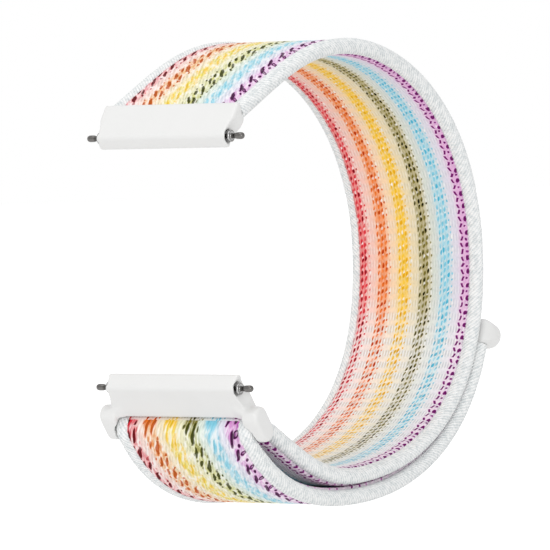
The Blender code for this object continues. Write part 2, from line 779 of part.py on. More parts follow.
def build():
    clear_scene()
    plastic = make_material("white_plastic", (0.86, 0.86, 0.85), 0.35)
    fabric = make_material("striped_weave", (0.80, 0.66, 0.62), 0.9)
    edging = make_material("white_edging", (0.84, 0.85, 0.85), 0.85)
    hooks = make_material("hook_tape", (0.78, 0.78, 0.77), 0.6)
    steel = make_material("polished_steel", (0.62, 0.61, 0.59), 0.2, metallic=1.0)

    route = ribbon_route()
    marks = route.marks
    swing = marks["fold_out"] + TAIL_HINGE_RUN
    peel = swing + PEEL_SHARE * (marks["tail_end"] - swing)
    crown_pivot, back_pivot = route.at(marks["crown"]), route.at(marks["back"])
    swing_pivot, peel_pivot = route.at(swing), route.at(peel)

    upper_link(plastic)
    lower_link(plastic)
    spring_bar("upper", UPPER_PIN, steel)
    spring_bar("lower", LOWER_PIN, steel)

    tongue = POCKET_DEPTH - TONGUE_GAP
    ribbon_pieces(
        route, "band_upper", marks["mouth"] - tongue, marks["crown"], fabric, edging,
        (0.0, 0.0), cord_start=marks["mouth"] + SEAT_GAP, socket=True,
    )
    ribbon_pieces(
        route, "band_back", marks["crown"], marks["back"], fabric, edging, crown_pivot,
        knuckle=True, socket=True,
    )
    ribbon_pieces(
        route, "band_lower", marks["back"], swing, fabric, edging, back_pivot,
        knuckle=True, socket=True,
    )
    ribbon_pieces(
        route, "tail_root", swing, peel, fabric, edging, swing_pivot,
        knuckle=True, socket=True,
    )
    ribbon_pieces(
        route, "tail_tip", peel, marks["tail_end"], fabric, edging, peel_pivot,
        cord_end=marks["tail_end"] - SEAT_GAP, knuckle=True,
    )
    hook_patch(route, peel, hooks, peel_pivot)
    end_tab(route, plastic, peel_pivot)

    for label, point in (
        ("crown", crown_pivot), ("back", back_pivot), ("cross_bar", CROSS_BAR),
        ("swing", swing_pivot), ("peel", peel_pivot), ("tail_end", route.at(marks["tail_end"])),
    ):
        print(f"{label}: y {point[0] / MM:.3f} mm, z {point[1] / MM:.3f} mm")
    print(f"ribbon length {route.run[-1] / MM:.1f} mm")


build()
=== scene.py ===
"""Looks of the closed hook and loop watch strap: woven ribbon, rolled edges, plastic and steel."""

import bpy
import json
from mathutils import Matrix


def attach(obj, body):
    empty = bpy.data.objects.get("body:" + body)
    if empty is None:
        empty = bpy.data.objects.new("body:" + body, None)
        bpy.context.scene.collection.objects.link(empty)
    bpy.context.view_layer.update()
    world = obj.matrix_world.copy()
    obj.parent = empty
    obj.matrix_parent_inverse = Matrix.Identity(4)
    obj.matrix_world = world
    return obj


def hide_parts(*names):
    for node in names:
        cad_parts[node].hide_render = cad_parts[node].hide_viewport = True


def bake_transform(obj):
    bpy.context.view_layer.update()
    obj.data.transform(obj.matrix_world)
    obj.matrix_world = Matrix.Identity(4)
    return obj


bl_info = {
    "name": "Striped Watch Strap",
    "version": (1, 0, 0),
    "blender": (4, 5, 0),
    "location": "View3D > Sidebar > Strap",
    "description": "Dresses a hook and loop watch strap in striped weave, white plastic and steel",
    "category": "Object",
}

import json
import math
from functools import partial
from typing import NamedTuple

import bmesh
import bpy
import numpy as np
from bpy.props import FloatProperty, FloatVectorProperty, IntProperty, PointerProperty
from mathutils import Quaternion, Vector

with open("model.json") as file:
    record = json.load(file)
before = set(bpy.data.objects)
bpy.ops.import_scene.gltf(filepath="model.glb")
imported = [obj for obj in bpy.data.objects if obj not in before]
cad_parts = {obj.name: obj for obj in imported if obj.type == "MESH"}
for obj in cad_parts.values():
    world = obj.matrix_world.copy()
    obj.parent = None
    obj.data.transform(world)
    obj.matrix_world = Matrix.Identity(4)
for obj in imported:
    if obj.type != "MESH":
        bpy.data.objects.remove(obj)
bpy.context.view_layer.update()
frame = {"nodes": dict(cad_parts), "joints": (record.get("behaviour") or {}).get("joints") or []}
JOINTS = {joint["name"]: joint for joint in frame["joints"]}
MM = 0.001
CURVE_POINTS = 160
STRIPES = ("red", "orange", "yellow", "olive", "blue", "purple")


# Properties

def length(name, description, millimetres):
    return FloatProperty(
        name=name, description=description, default=millimetres * MM, unit="LENGTH", precision=5
    )


def angle(name, description, degrees):
    return FloatProperty(
        name=name, description=description, default=math.radians(degrees), unit="ROTATION"
    )


def plain(name, description, default):
    return FloatProperty(name=name, description=description, default=default)


def linear(hex_colour):
    """A colour as written for the screen, in the scene's linear values."""
    shares = [int(hex_colour[k:k + 2], 16) / 255 for k in (0, 2, 4)]
    return [s / 12.92 if s <= 0.04045 else ((s + 0.055) / 1.055) ** 2.4 for s in shares]


def colour(name, description, hex_colour):
    return FloatVectorProperty(
        name=name, description=description, default=linear(hex_colour), subtype="COLOR",
        min=0.0, max=1.0,
    )


class RibbonSizes(bpy.types.PropertyGroup):
    width: length("Width", "Ribbon's whole width, between the watch's lugs", 20.0)
    edge_radius: length("Edge radius", "Rolled edge on each side", 1.05)
    web_thickness: length("Web thickness", "Woven middle", 1.7)
    web_tuck: length("Web tuck", "How far the web reaches into each rolled edge", 0.7)
    pile: length("Pile", "Looped pile that stands above the web on the wrist side", 0.3)
    pile_spread: length("Pile spread", "How far the pile laps over each rolled edge", 0.3)
    pile_edge: length("Pile edge", "Extra pile beside the tail's rolled edges", 0.22)
    loops: length("Loops", "Catching loops on the band's outer face, under the tail", 0.42)
    loops_start: length("Loops' start", "From the tail's end to the first loops", 4.0)
    exit_y: length("Exit along Y", "Ribbon's centre line at the upper link, from its pin", 2.6)
    exit_z: length("Exit along Z", "Ribbon's centre line at the upper link, from its pin", 2.85)
    exit_heading: angle("Exit heading", "Ribbon leaves the upper link at this slope", 22.7)
    pocket: length("Pocket", "Ribbon's end inside the upper link", 1.0)
    fold_radius: length("Fold radius", "Centre line round the cross-bar", 1.5)
    fold_thickness: length("Fold thickness", "Edge squeezed round the cross-bar", 1.5)
    fold_ramp: length("Fold ramp", "Length over which the ribbon swells again", 5.0)
    fold_in: angle("Fold in", "Heading where the fold starts", 152.4)
    fold_out: angle("Fold out", "Heading where the fold ends", 311.0)
    low_drop: length("Low drop", "Lowest point of the centre line below the origin", 28.9)
    layer_pitch: length("Layer pitch", "Tail's centre line from the band's", 2.6)
    closure: length("Closure", "Tail pressed on the band, lowest point to tab", 39.1)
    tongue: length("Tongue", "Thickness where a link or the tab grips the web", 0.75)
    seat: length("Seat", "Ramp's start from a link or the tab", 0.3)


class WeaveSizes(bpy.types.PropertyGroup):
    outer_first: length("Outer first stripe", "Red stripe's middle from the left side", 2.25)
    outer_pitch: length("Outer stripe pitch", "From one stripe's middle to the next", 3.02)
    inner_first: length("Inner first stripe", "Red stripe's middle, wrist side", 2.2)
    inner_pitch: length("Inner stripe pitch", "From stripe to stripe, wrist side", 3.19)
    outer_repeat: length("Outer repeat", "Woven repeat along the outer face", 2.55)
    inner_repeat: length("Inner repeat", "Woven repeat along the wrist side", 1.85)
    column: length("Column", "From one dark thread to the next, wrist side", 0.56)
    lean: plain("Lean", "Sideways drift of the outer face's threads along the ribbon", 0.42)
    relief: length("Relief", "Height of the woven threads", 0.1)
    rib_pitch: length("Rib pitch", "Ribs of the rolled edge", 0.56)
    rib_starts: IntProperty(
        name="Rib starts", description="Ribs that wind round the rolled edge side by side",
        default=11,
    )
    rib_height: length("Rib height", "Relief of the rolled edge's ribs", 0.06)


class WeaveColours(bpy.types.PropertyGroup):
    red_ink: colour("Red thread", "Dark threads, outer face", "66040f")
    orange_ink: colour("Orange thread", "Dark threads, outer face", "c05a18")
    yellow_ink: colour("Yellow thread", "Dark threads, outer face", "efce30")
    olive_ink: colour("Olive thread", "Dark threads, outer face", "424608")
    blue_ink: colour("Blue thread", "Dark threads, outer face", "66cae0")
    purple_ink: colour("Purple thread", "Dark threads, outer face", "461040")
    red_tint: colour("Red tint", "Round the dark threads, outer face", "f5a8ae")
    orange_tint: colour("Orange tint", "Round the dark threads, outer face", "f8be84")
    yellow_tint: colour("Yellow tint", "Round the dark threads, outer face", "f8e466")
    olive_tint: colour("Olive tint", "Round the dark threads, outer face", "dcd884")
    blue_tint: colour("Blue tint", "Round the dark threads, outer face", "aae2f0")
    purple_tint: colour("Purple tint", "Round the dark threads, outer face", "ecb6e2")
    red_loop: colour("Red loops", "Looped threads, at the fold and in the pile", "e22c3c")
    orange_loop: colour("Orange loops", "Looped threads, at the fold and in the pile", "f07622")
    yellow_loop: colour("Yellow loops", "Looped threads, at the fold and in the pile", "fac830")
    olive_loop: colour("Olive loops", "Looped threads, at the fold and in the pile", "7e7428")
    blue_loop: colour("Blue loops", "Looped threads, at the fold and in the pile", "86d0e6")
    purple_loop: colour("Purple loops", "Looped threads, at the fold and in the pile", "cb5cc0")
    red_pile: colour("Red pile", "Stripe, wrist side", "f5a8a2")
    orange_pile: colour("Orange pile", "Stripe, wrist side", "f9b68c")
    yellow_pile: colour("Yellow pile", "Stripe, wrist side", "fcd87e")
    olive_pile: colour("Olive pile", "Stripe, wrist side", "cfc294")
    blue_pile: colour("Blue pile", "Stripe, wrist side", "c0e0e9")
    purple_pile: colour("Purple pile", "Stripe, wrist side", "e8c0de")
    red_knot: colour("Red knots", "Dark threads, wrist side", "7c0014")
    orange_knot: colour("Orange knots", "Dark threads, wrist side", "bc3200")
    yellow_knot: colour("Yellow knots", "Dark threads, wrist side", "e8a812")
    olive_knot: colour("Olive knots", "Dark threads, wrist side", "120f02")
    blue_knot: colour("Blue knots", "Dark threads, wrist side", "4ab8da")
    purple_knot: colour("Purple knots", "Dark threads, wrist side", "6c1460")
    # white is the threads' and rolled edges' own colour and also that of the painted highlights;
    # shade is the painted shade between threads and ribs, and the hook tape's random tone.
    white: colour("White thread", "Bright threads and the rolled edges", "fafaf9")
    shade: colour("Shaded thread", "Between the rolled edge's ribs", "b9c2c5")


class PlasticFinish(bpy.types.PropertyGroup):
    colour: colour("Plastic", "End links and pull tab", "dfdfde")
    roughness: plain("Plastic roughness", "Satin of the moulded pieces", 0.36)
    grain: length("Moulding grain", "Size of the end links' mesh", 0.13)
    softening: IntProperty(
        name="Softening", description="Rounds of smoothing on the end links", default=10
    )
    face_slope: angle("Face slope", "Lower link's front face, below the horizon", 53.0)
    face_out: length("Face out", "Front face from the lower pin", 1.17)
    face_low: length("Ramp's top", "From the pin, down the face", 2.2)
    face_high: length("Ramp's foot", "From the pin, down the face", 3.9)
    ear_out: length("Ear out", "Ear's front from the pin", 2.18)
    ramp_start: length("Ramp start", "Where the face starts to rise to the ear", 7.9)
    ramp_end: length("Ramp end", "Where it meets the ear's rim", 11.3)


class SpringBarSizes(bpy.types.PropertyGroup):
    shoulder: length("Shoulder", "Plunger's inner end from the bar's middle", 6.9)
    shoulder_radius: length("Shoulder radius", "Plunger's head inside the tube", 0.4)
    shank_radius: length("Shank radius", "Plunger where it leaves the tube", 0.3)
    flange_at: length("Flange place", "Flange's inner face from the bar's middle", 9.45)
    flange_radius: length("Flange radius", "Rim that a tool draws back", 0.75)
    flange_thickness: length("Flange thickness", "Rim's thickness", 0.3)
    neck_radius: length("Neck radius", "Behind the bulb", 0.3)
    bulb_radius: length("Bulb radius", "Tip that sits in the lug's hole", 0.43)
    end: length("Tip's end", "From the bar's middle", 11.5)
    wire_radius: length("Coil wire", "Radius of the coil's wire", 0.085)
    coil_radius: length("Coil radius", "Coil's centre line", 0.3)
    coil_pitch: length("Coil pitch", "From turn to turn", 0.45)


class SteelFinish(bpy.types.PropertyGroup):
    colour: colour("Steel", "Spring bars", "72706e")
    # The flanges are painted in this lighter steel tone, as a painted highlight.
    bright: colour("Bright steel", "The tips' flanges", "c4c4c4")
    roughness: plain("Steel roughness", "Polish of the spring bars", 0.22)


class TabSizes(bpy.types.PropertyGroup):
    radius: length("Tab radius", "Bead's radius", 1.7)
    rise: length("Tab rise", "Bead's centre above the tail's centre line", 1.4)
    base: length("Tab base", "Foot below the tail's centre line", 1.05)
    overhang: length("Tab overhang", "Bead's end beyond the ribbon's edge", 1.0)
    dome: length("Tab dome", "Length of each rounded end", 1.7)
    foot_round: length("Tab foot round", "Rounding of the foot", 0.4)


class HookSizes(bpy.types.PropertyGroup):
    margin: length("Hook margin", "Patch's edge to the rolled edge", 1.1)
    setback: length("Hook setback", "Patch to the peel line and to the tab", 3.0)
    base: length("Hook base", "Thickness of the hook tape", 0.25)
    height: length("Hook height", "Hooks above their tape", 0.32)
    pitch: length("Hook pitch", "From hook to hook", 0.85)
    wire: length("Hook wire", "Radius of a hook's monofilament", 0.05)


class StageSizes(bpy.types.PropertyGroup):
    distance: length("Camera distance", "Camera to the origin", 600.0)
    azimuth: angle("Camera azimuth", "Camera's turn towards +X", 33.0)
    elevation: angle("Camera elevation", "Camera above the horizon", 2.7)
    roll: angle("Camera roll", "Camera's turn about its own view", -2.0)
    lens: plain("Camera lens", "Focal length, in millimetres", 318.1)
    floor_drop: length("Floor drop", "Floor below the origin, clear of the peeled tail", 95.0)
    floor_size: length("Floor size", "Floor's radius", 3000.0)


GROUPS = {
    "ribbon": RibbonSizes, "weave": WeaveSizes, "dyes": WeaveColours,
    "plastic": PlasticFinish, "steel": SteelFinish, "bar": SpringBarSizes, "tab": TabSizes,
    "hooks": HookSizes, "stage": StageSizes,
}


class StrapSettings(bpy.types.PropertyGroup):
    __annotations__ = {name: PointerProperty(type=group) for name, group in GROUPS.items()}


def settings():
    return bpy.context.scene.watch_strap


# The ribbon's line

def unit(degrees):
    return np.array([math.cos(math.radians(degrees)), math.sin(math.radians(degrees))])


def pivot(joint):
    """A joint's place in the Y, Z plane."""
    return np.array(JOINTS[joint]["pos_m"][1:])


def curve_between(start, start_heading, end, end_heading, handle_shares):
    """Points on a smooth curve, with each handle's length as a share of the chord."""
    chord = np.linalg.norm(end - start)
    first = start + handle_shares[0] * chord * unit(start_heading)
    second = end - handle_shares[1] * chord * unit(end_heading)
    t = np.linspace(0.0, 1.0, CURVE_POINTS)[:, None]
    return (
        (1 - t) ** 3 * start + 3 * (1 - t) ** 2 * t * first
        + 3 * (1 - t) * t ** 2 * second + t ** 3 * end
    )


def runs_along(points):
    """How far along a line each of its points lies."""
    steps = np.linalg.norm(np.diff(points, axis=0), axis=1)
    return np.concatenate([[0.0], np.cumsum(steps)])


class RibbonLine:
    """Upper link, crown, back, bottom, round the cross-bar and out along the tail."""

    # The line starts deeper in the link than the ribbon, by this share of its pocket.
    INSIDE_SHARE = 1.2
    # Each curve's two handles, as shares of its chord.
    TOP_FRONT_SHARES = (0.39, 0.385)
    TOP_BACK_SHARES = (0.35, 0.43)
    LOW_BACK_SHARES = (0.44, 0.44)
    LOW_FRONT_SHARES = (0.39, 0.375)
    TAIL_SHARES = (0.36, 0.39)

    def __init__(self, sizes):
        crown, back, bar = pivot("crown_flex"), pivot("back_flex"), pivot("link_swing")
        low = np.array([crown[0], -sizes.low_drop])
        exit_heading = math.degrees(sizes.exit_heading)
        mouth = pivot("upper_bar_spin") + np.array([sizes.exit_y, sizes.exit_z])
        inside = mouth - self.INSIDE_SHARE * sizes.pocket * unit(exit_heading)
        fold_in, fold_out = math.degrees(sizes.fold_in), math.degrees(sizes.fold_out)
        turn = np.radians(np.linspace(fold_in, fold_out, CURVE_POINTS))
        left = np.stack([-np.sin(turn), np.cos(turn)], axis=-1)
        fold = bar - sizes.fold_radius * left
        low_back = curve_between(back, -90, low, -180, self.LOW_BACK_SHARES)
        tail_low = low - np.array([0.0, sizes.layer_pitch])
        curves = [
            ("mouth", np.array([inside, mouth])),
            ("crown", curve_between(mouth, exit_heading, crown, 0, self.TOP_FRONT_SHARES)),
            ("back", curve_between(crown, 0, back, -90, self.TOP_BACK_SHARES)),
            ("low", low_back),
            ("fold_in", curve_between(low, -180, fold[0], fold_in, self.LOW_FRONT_SHARES)),
            ("fold_out", fold),
            ("tail_low", curve_between(fold[-1], fold_out, tail_low, 0, self.TAIL_SHARES)),
            ("tail_end", self.tail(low_back, sizes)),
        ]
        points, self.mark = [], {}
        for name, curve in curves:
            points.extend(p for p in curve if not points or np.any(p != points[-1]))
            self.mark[name] = len(points) - 1
        self.points = np.array(points)
        self.run = runs_along(self.points)
        slopes = np.gradient(self.points, self.run, axis=0)
        self.heading = np.unwrap(np.arctan2(slopes[:, 1], slopes[:, 0]))
        self.mark = {name: float(self.run[at]) for name, at in self.mark.items()}
        on_tail = self.run >= self.mark["fold_out"]
        for joint in ("tail_swing", "tail_peel"):
            self.mark[joint] = self.run_nearest(pivot(joint), on_tail)
        self.length = float(self.run[-1])
        self.sizes = sizes

    @staticmethod
    def tail(band, sizes):
        """The tail's line, laid one layer out from the band and cut to length."""
        steps = np.gradient(band, axis=0)
        steps /= np.linalg.norm(steps, axis=1)[:, None]
        laid = (band + sizes.layer_pitch * np.stack([-steps[:, 1], steps[:, 0]], axis=-1))[::-1]
        wanted = np.linspace(0.0, sizes.closure, CURVE_POINTS)
        columns = [np.interp(wanted, runs_along(laid), column) for column in laid.T]
        return np.stack(columns, axis=-1)

    def run_nearest(self, spot, allowed):
        """Where along the line it comes nearest to a spot, among its allowed points."""
        far = np.where(allowed, np.linalg.norm(self.points - spot, axis=1), np.inf)
        return float(self.run[far.argmin()])

    def place(self, runs, across, height):
        """Points on or beside the line; height is to the left of its direction."""
        heading = np.interp(runs, self.run, self.heading)
        y = np.interp(runs, self.run, self.points[:, 0]) - height * np.sin(heading)
        z = np.interp(runs, self.run, self.points[:, 1]) + height * np.cos(heading)
        return np.stack([across, y, z], axis=-1)

    def squeeze(self, runs):
        """Share of full thickness, less where the ribbon folds round the cross-bar."""
        least = self.sizes.fold_thickness / (2 * self.sizes.edge_radius)
        ramp = self.sizes.fold_ramp
        into = smooth(runs, self.mark["fold_in"] - ramp, self.mark["fold_in"])
        out = smooth(runs, self.mark["fold_out"] + ramp, self.mark["fold_out"])
        return 1 - (1 - least) * np.minimum(into, out)

    def grip(self, runs):
        """Share of the web's thickness where a link or the tab holds its end."""
        sizes = self.sizes
        tongue = sizes.tongue / sizes.web_thickness
        first = self.mark["mouth"] + sizes.seat
        last = self.mark["tail_end"] - sizes.seat
        ramp = sizes.web_thickness
        free = np.minimum(smooth(runs, first, first + ramp), smooth(runs, last, last - ramp))
        return tongue + (1 - tongue) * free


def smooth(value, low, high):
    t = np.clip((value - low) / (high - low), 0.0, 1.0)
    return t * t * (3 - 2 * t)


# Meshes

def added(name, data):
    """A new object in the scene."""
    thing = bpy.data.objects.new(name, data)
    bpy.context.scene.collection.objects.link(thing)
    return thing


def facing(place, target):
    """The turn of a lamp or a camera that looks from a place to a target."""
    return (target - place).to_track_quat("-Z", "Y")


def finished(bm, name, materials):
    mesh = bpy.data.meshes.new(name)
    bm.to_mesh(mesh)
    bm.free()
    for material in materials:
        mesh.materials.append(material)
    return added(name, mesh)


def shade_smooth(bm):
    for face in bm.faces:
        face.smooth = True


def only_kind(items, kind):
    return [item for item in items if isinstance(item, kind)]


def wire_end(bm, sides, radius):
    """A wire's flat end, from which the wire is drawn out: its verts and its face."""
    verts = bmesh.ops.create_circle(bm, cap_ends=True, segments=sides, radius=radius)["verts"]
    return verts, list({face for vert in verts for face in vert.link_faces})


def rolled(name, span, counts, lay, materials, slot_of=None, uv_of=None):
    """A closed tube: a flat grid whose long sides are laid together and welded.

    lay(run, q) gives the grid's points in space, for run from one end of the span to the
    other and q from 0 to 1 round the tube. slot_of and uv_of take the same.
    """
    start, end = span
    bm = bmesh.new()
    uv = bm.loops.layers.uv.new("Cloth")
    bmesh.ops.create_grid(
        bm, x_segments=counts[0], y_segments=counts[1], size=0.5, calc_uvs=True
    )

    def along_and_round(points):
        p, q = (np.array([point[:2] for point in points]) + 0.5).T
        return start + p * (end - start), q

    shade_smooth(bm)
    if slot_of:
        slots = slot_of(*along_and_round([face.calc_center_median() for face in bm.faces]))
        for face, slot in zip(bm.faces, slots):
            face.material_index = int(slot)
    if uv_of:
        corners = [loop for face in bm.faces for loop in face.loops]
        places = uv_of(*along_and_round([loop.vert.co for loop in corners]))
        for loop, u, v in zip(corners, *places):
            loop[uv].uv = (u, v)
    for vert, place in zip(bm.verts, lay(*along_and_round([vert.co for vert in bm.verts]))):
        vert.co = place
    bmesh.ops.remove_doubles(bm, verts=bm.verts, dist=1e-4 * MM)
    rims = [edge for edge in bm.edges if edge.is_boundary]
    for edge in rims:
        edge.smooth = False
    for cap in bmesh.ops.holes_fill(bm, edges=rims, sides=0)["faces"]:
        cap.smooth = False
    bmesh.ops.recalc_face_normals(bm, faces=bm.faces)
    return finished(bm, name, materials)


# Material maths

def term(operation):
    """A method of Value that adds one Math node."""
    def method(self, *others):
        return self.paint.maths(operation, self, *others)
    return method


class Value:
    """A number in a node tree that takes part in sums."""

    def __init__(self, paint, socket):
        self.paint = paint
        self.socket = socket

    __add__ = __radd__ = term("ADD")
    __mul__ = __rmul__ = term("MULTIPLY")
    __sub__ = term("SUBTRACT")
    __truediv__ = term("DIVIDE")
    __pow__ = term("POWER")
    __abs__ = term("ABSOLUTE")
    floor = term("FLOOR")
    fraction = term("FRACT")
    least = term("MINIMUM")
    most = term("MAXIMUM")
    over = term("GREATER_THAN")

    def __rsub__(self, other):
        return self.paint.maths("SUBTRACT", other, self)

    def wave(self):
        """0 to 1 and back over each whole number."""
        return self.paint.maths("COSINE", self * (2 * math.pi)) * -0.5 + 0.5

    def rise(self, low, high):
        """0 below low, 1 above high and smooth between; the other way if high is lower."""
        node = self.paint.node(
            "ShaderNodeMapRange", {"interpolation_type": "SMOOTHSTEP"},
            {"Value": self, "From Min": low, "From Max": high},
        )
        return Value(self.paint, node.outputs["Result"])


class Paint:
    """A node tree in the making, with the shader that it feeds."""

    def __init__(self, owner, shader):
        owner.use_nodes = True
        self.owner = owner
        self.tree = owner.node_tree
        self.shader = self.tree.nodes[shader]

    @classmethod
    def of_material(cls, name, roughness, metallic=0.0, specular=0.5):
        paint = cls(bpy.data.materials.new(name), "Principled BSDF")
        paint.give({
            "Roughness": roughness, "Metallic": metallic, "Specular IOR Level": specular,
        })
        return paint

    def node(self, kind, settings=None, sockets=None):
        """Any node: its settings first, then the values or links of its sockets."""
        node = self.tree.nodes.new(kind)
        for name, value in (settings or {}).items():
            if name == "stops":
                self.fill_ramp(node.color_ramp, value)
            elif name == "ramp":
                node.color_ramp.interpolation = value
            else:
                setattr(node, name, value)
        for name, value in (sockets or {}).items():
            self.feed(node.inputs[name], value)
        return node

    @staticmethod
    def fill_ramp(ramp, stops):
        while len(ramp.elements) < len(stops):
            ramp.elements.new(1.0)
        for element, (place, tone) in zip(ramp.elements, stops):
            element.position = place
            element.color = (*tone, 1.0)

    def feed(self, socket, value):
        if isinstance(value, Value):
            value = value.socket
        if isinstance(value, bpy.types.NodeSocket):
            self.tree.links.new(value, socket)
        elif socket.type == "RGBA" and len(value) == 3:
            socket.default_value = (*value, 1.0)
        else:
            socket.default_value = value

    def give(self, sockets):
        """Set or link sockets of the shader itself."""
        for name, value in sockets.items():
            self.feed(self.shader.inputs[name], value)

    def finish(self, tone, height, distance):
        """The material, once its colour and its relief are known."""
        bump = self.node(
            "ShaderNodeBump", None, {"Height": height, "Distance": distance, "Strength": 1.0}
        )
        self.give({"Base Color": tone, "Normal": bump.outputs["Normal"]})
        return self.owner

    def maths(self, operation, *terms):
        node = self.node("ShaderNodeMath", {"operation": operation}, dict(enumerate(terms)))
        return Value(self, node.outputs[0])

    def vector(self, x, y, z=0.0):
        return self.node("ShaderNodeCombineXYZ", None, {0: x, 1: y, 2: z}).outputs[0]

    def mix(self, share, first, second, way="MIX"):
        """A colour between two others."""
        settings = {"data_type": "RGBA", "blend_type": way}
        return self.node("ShaderNodeMix", settings, {0: share, 6: first, 7: second}).outputs[2]

    def noise(self, place, scale, detail=2.0):
        sockets = {"Vector": place, "Scale": scale, "Detail": detail}
        return Value(self, self.node("ShaderNodeTexNoise", None, sockets).outputs["Fac"])

    def chance(self, place):
        """A number of 0 to 1 that is the same all over one woven cell."""
        node = self.node("ShaderNodeTexWhiteNoise", {"noise_dimensions": "3D"}, {"Vector": place})
        return Value(self, node.outputs["Value"])

    def ramp(self, share, stops, interpolation="LINEAR"):
        settings = {"ramp": interpolation, "stops": stops}
        return self.node("ShaderNodeValToRGB", settings, {"Fac": share}).outputs["Color"]

    def cloth(self, width, run):
        """Places on the cloth in millimetres: across from its left side, and along."""
        uv = self.node("ShaderNodeUVMap", {"uv_map": "Cloth"}).outputs["UV"]
        split = self.node("ShaderNodeSeparateXYZ", None, {0: uv})
        across = Value(self, split.outputs[0]) * (width / MM)
        along = Value(self, split.outputs[1]) * (run / MM)
        return across, along

    def place(self):
        """Places on a piece, in metres."""
        return self.node("ShaderNodeTexCoord").outputs["Object"]

    def seen(self):
        """1 for what the camera sees, straight or in a shiny piece."""
        rays = self.node("ShaderNodeLightPath").outputs
        return Value(self, rays["Is Camera Ray"]).most(Value(self, rays["Is Glossy Ray"]))


# Weave

class Floats(NamedTuple):
    """One column of thread floats in a stripe, in millimetres and in turns of its period."""
    centre: float
    phase: float
    half_length: float
    half_width: float
    seed: float
    wild: float
    strength: float = 1.0


class Weave:
    """Places, stripes and threads that both faces of the ribbon share."""

    # How far each stripe's pattern is out of step with the next, in turns.
    LAG = 0.37

    def __init__(self, name, strap, line, first, pitch):
        self.dyes = strap.dyes
        self.white = tuple(strap.dyes.white)
        self.width = strap.ribbon.width / MM
        self.first = first / MM
        self.pitch = pitch / MM
        self.paint = Paint.of_material(name, roughness=0.85, specular=0.15)
        self.across, self.along = self.paint.cloth(strap.ribbon.width, line.length)
        place = self.paint.vector(self.across, self.along)
        self.drift = (self.paint.noise(place, 0.8, 1.0) - 0.5) * 0.8
        stripe = ((self.across - self.first) / self.pitch + 0.5).floor()
        self.stripe = stripe.most(0.0).least(len(STRIPES) - 1.0)
        self.local = self.across - self.first - self.stripe * self.pitch + self.drift * 0.4
        self.near = abs(self.local)

    def stops(self, tones):
        """Ramp stops, one at each stripe's left side."""
        starts = [(self.first + (k - 0.5) * self.pitch) / self.width for k in range(len(tones))]
        return [(min(1.0, max(0.0, start)), tuple(tone)) for start, tone in zip(starts, tones)]

    def tones(self, kind):
        return [np.array(getattr(self.dyes, f"{stripe}_{kind}")) for stripe in STRIPES]

    def by_stripe(self, kind):
        """The colour of each stripe, the same all over the stripe's share of the width."""
        return self.paint.ramp(self.across / self.width, self.stops(self.tones(kind)), "CONSTANT")

    def ground(self, kind, paleness):
        """Pale cloth between the stripes, each tone passing into the next."""
        tones = self.tones(kind)
        between = [(a + b) / 2 for a, b in zip([tones[0], *tones], [*tones, tones[-1]])]
        white = np.array(self.white)
        pale = [white + (tone - white) * paleness for tone in between]
        return self.paint.ramp(self.across / self.width, self.stops(pale))

    def cloud(self, across, along, detail):
        """Noise with its own scale across the ribbon and along it."""
        return self.paint.noise(
            self.paint.vector(self.across * across, self.along * along), 1.0, detail
        )

    def turn(self, period, phase):
        """How many times a pattern has come round, each stripe a little out of step."""
        return (self.along + self.drift * 0.5) / period + phase + self.stripe * self.LAG

    def dashes(self, period, lean, *columns, hollow=0.0):
        """Thread floats: slanted ovals, each a little unlike the next."""
        total = None
        for column in columns:
            turn = self.turn(period, column.phase)
            cell = turn.floor()
            chance = self.paint.chance(self.paint.vector(cell, self.stripe, column.seed))
            place = (turn - cell - 0.5 + ((chance * 7.3).fraction() - 0.5) * 0.16) * period
            bow = place * place * (0.22 / column.half_length)
            sway = bow * (chance - 0.5) + (chance - 0.5) * 0.14
            offset = self.local - column.centre + place * lean + sway
            reach = (place / column.half_length) ** 2.0 + (offset / column.half_width) ** 2.0
            solid = reach.rise(1.55, 0.4)
            if hollow:
                solid = solid * (1.0 - reach.rise(0.35, 0.1) * hollow)
            strong, even = column.wild * column.strength, (1.0 - column.wild) * column.strength
            solid = solid * ((chance * 31.7).fraction() * strong + even)
            total = total.most(solid) if total else solid
        return total

    def threaded(self, tone, ink, kind, depth):
        """Dark threads laid over a tone, each with a brighter fringe of its own dye."""
        tone = self.paint.mix(ink.rise(0.05, 0.5) * depth, tone, self.by_stripe("loop"))
        return self.paint.mix(ink.rise(0.42, 0.85) * 0.99, tone, self.by_stripe(kind))

    def shaded(self, dark, tone):
        """A tone with painted shade in the hollows between its threads."""
        return self.paint.mix(dark, tone, tuple(self.dyes.shade), "MULTIPLY")

    def only(self, *stripes):
        """1 on the stripes named, 0 on the others."""
        return sum(
            1.0 - abs(self.stripe - float(STRIPES.index(stripe))).over(0.5) for stripe in stripes
        )

    def after_fold(self, line, start, end):
        """1 in the lower link's slot, falling to 0 between two lengths past the fold."""
        into, out = line.mark["fold_in"] / MM, line.mark["fold_out"] / MM
        past = self.along + self.drift * 1.2
        return self.along.rise(into - 2.0, into - 0.5) * past.rise(out + end, out + start)


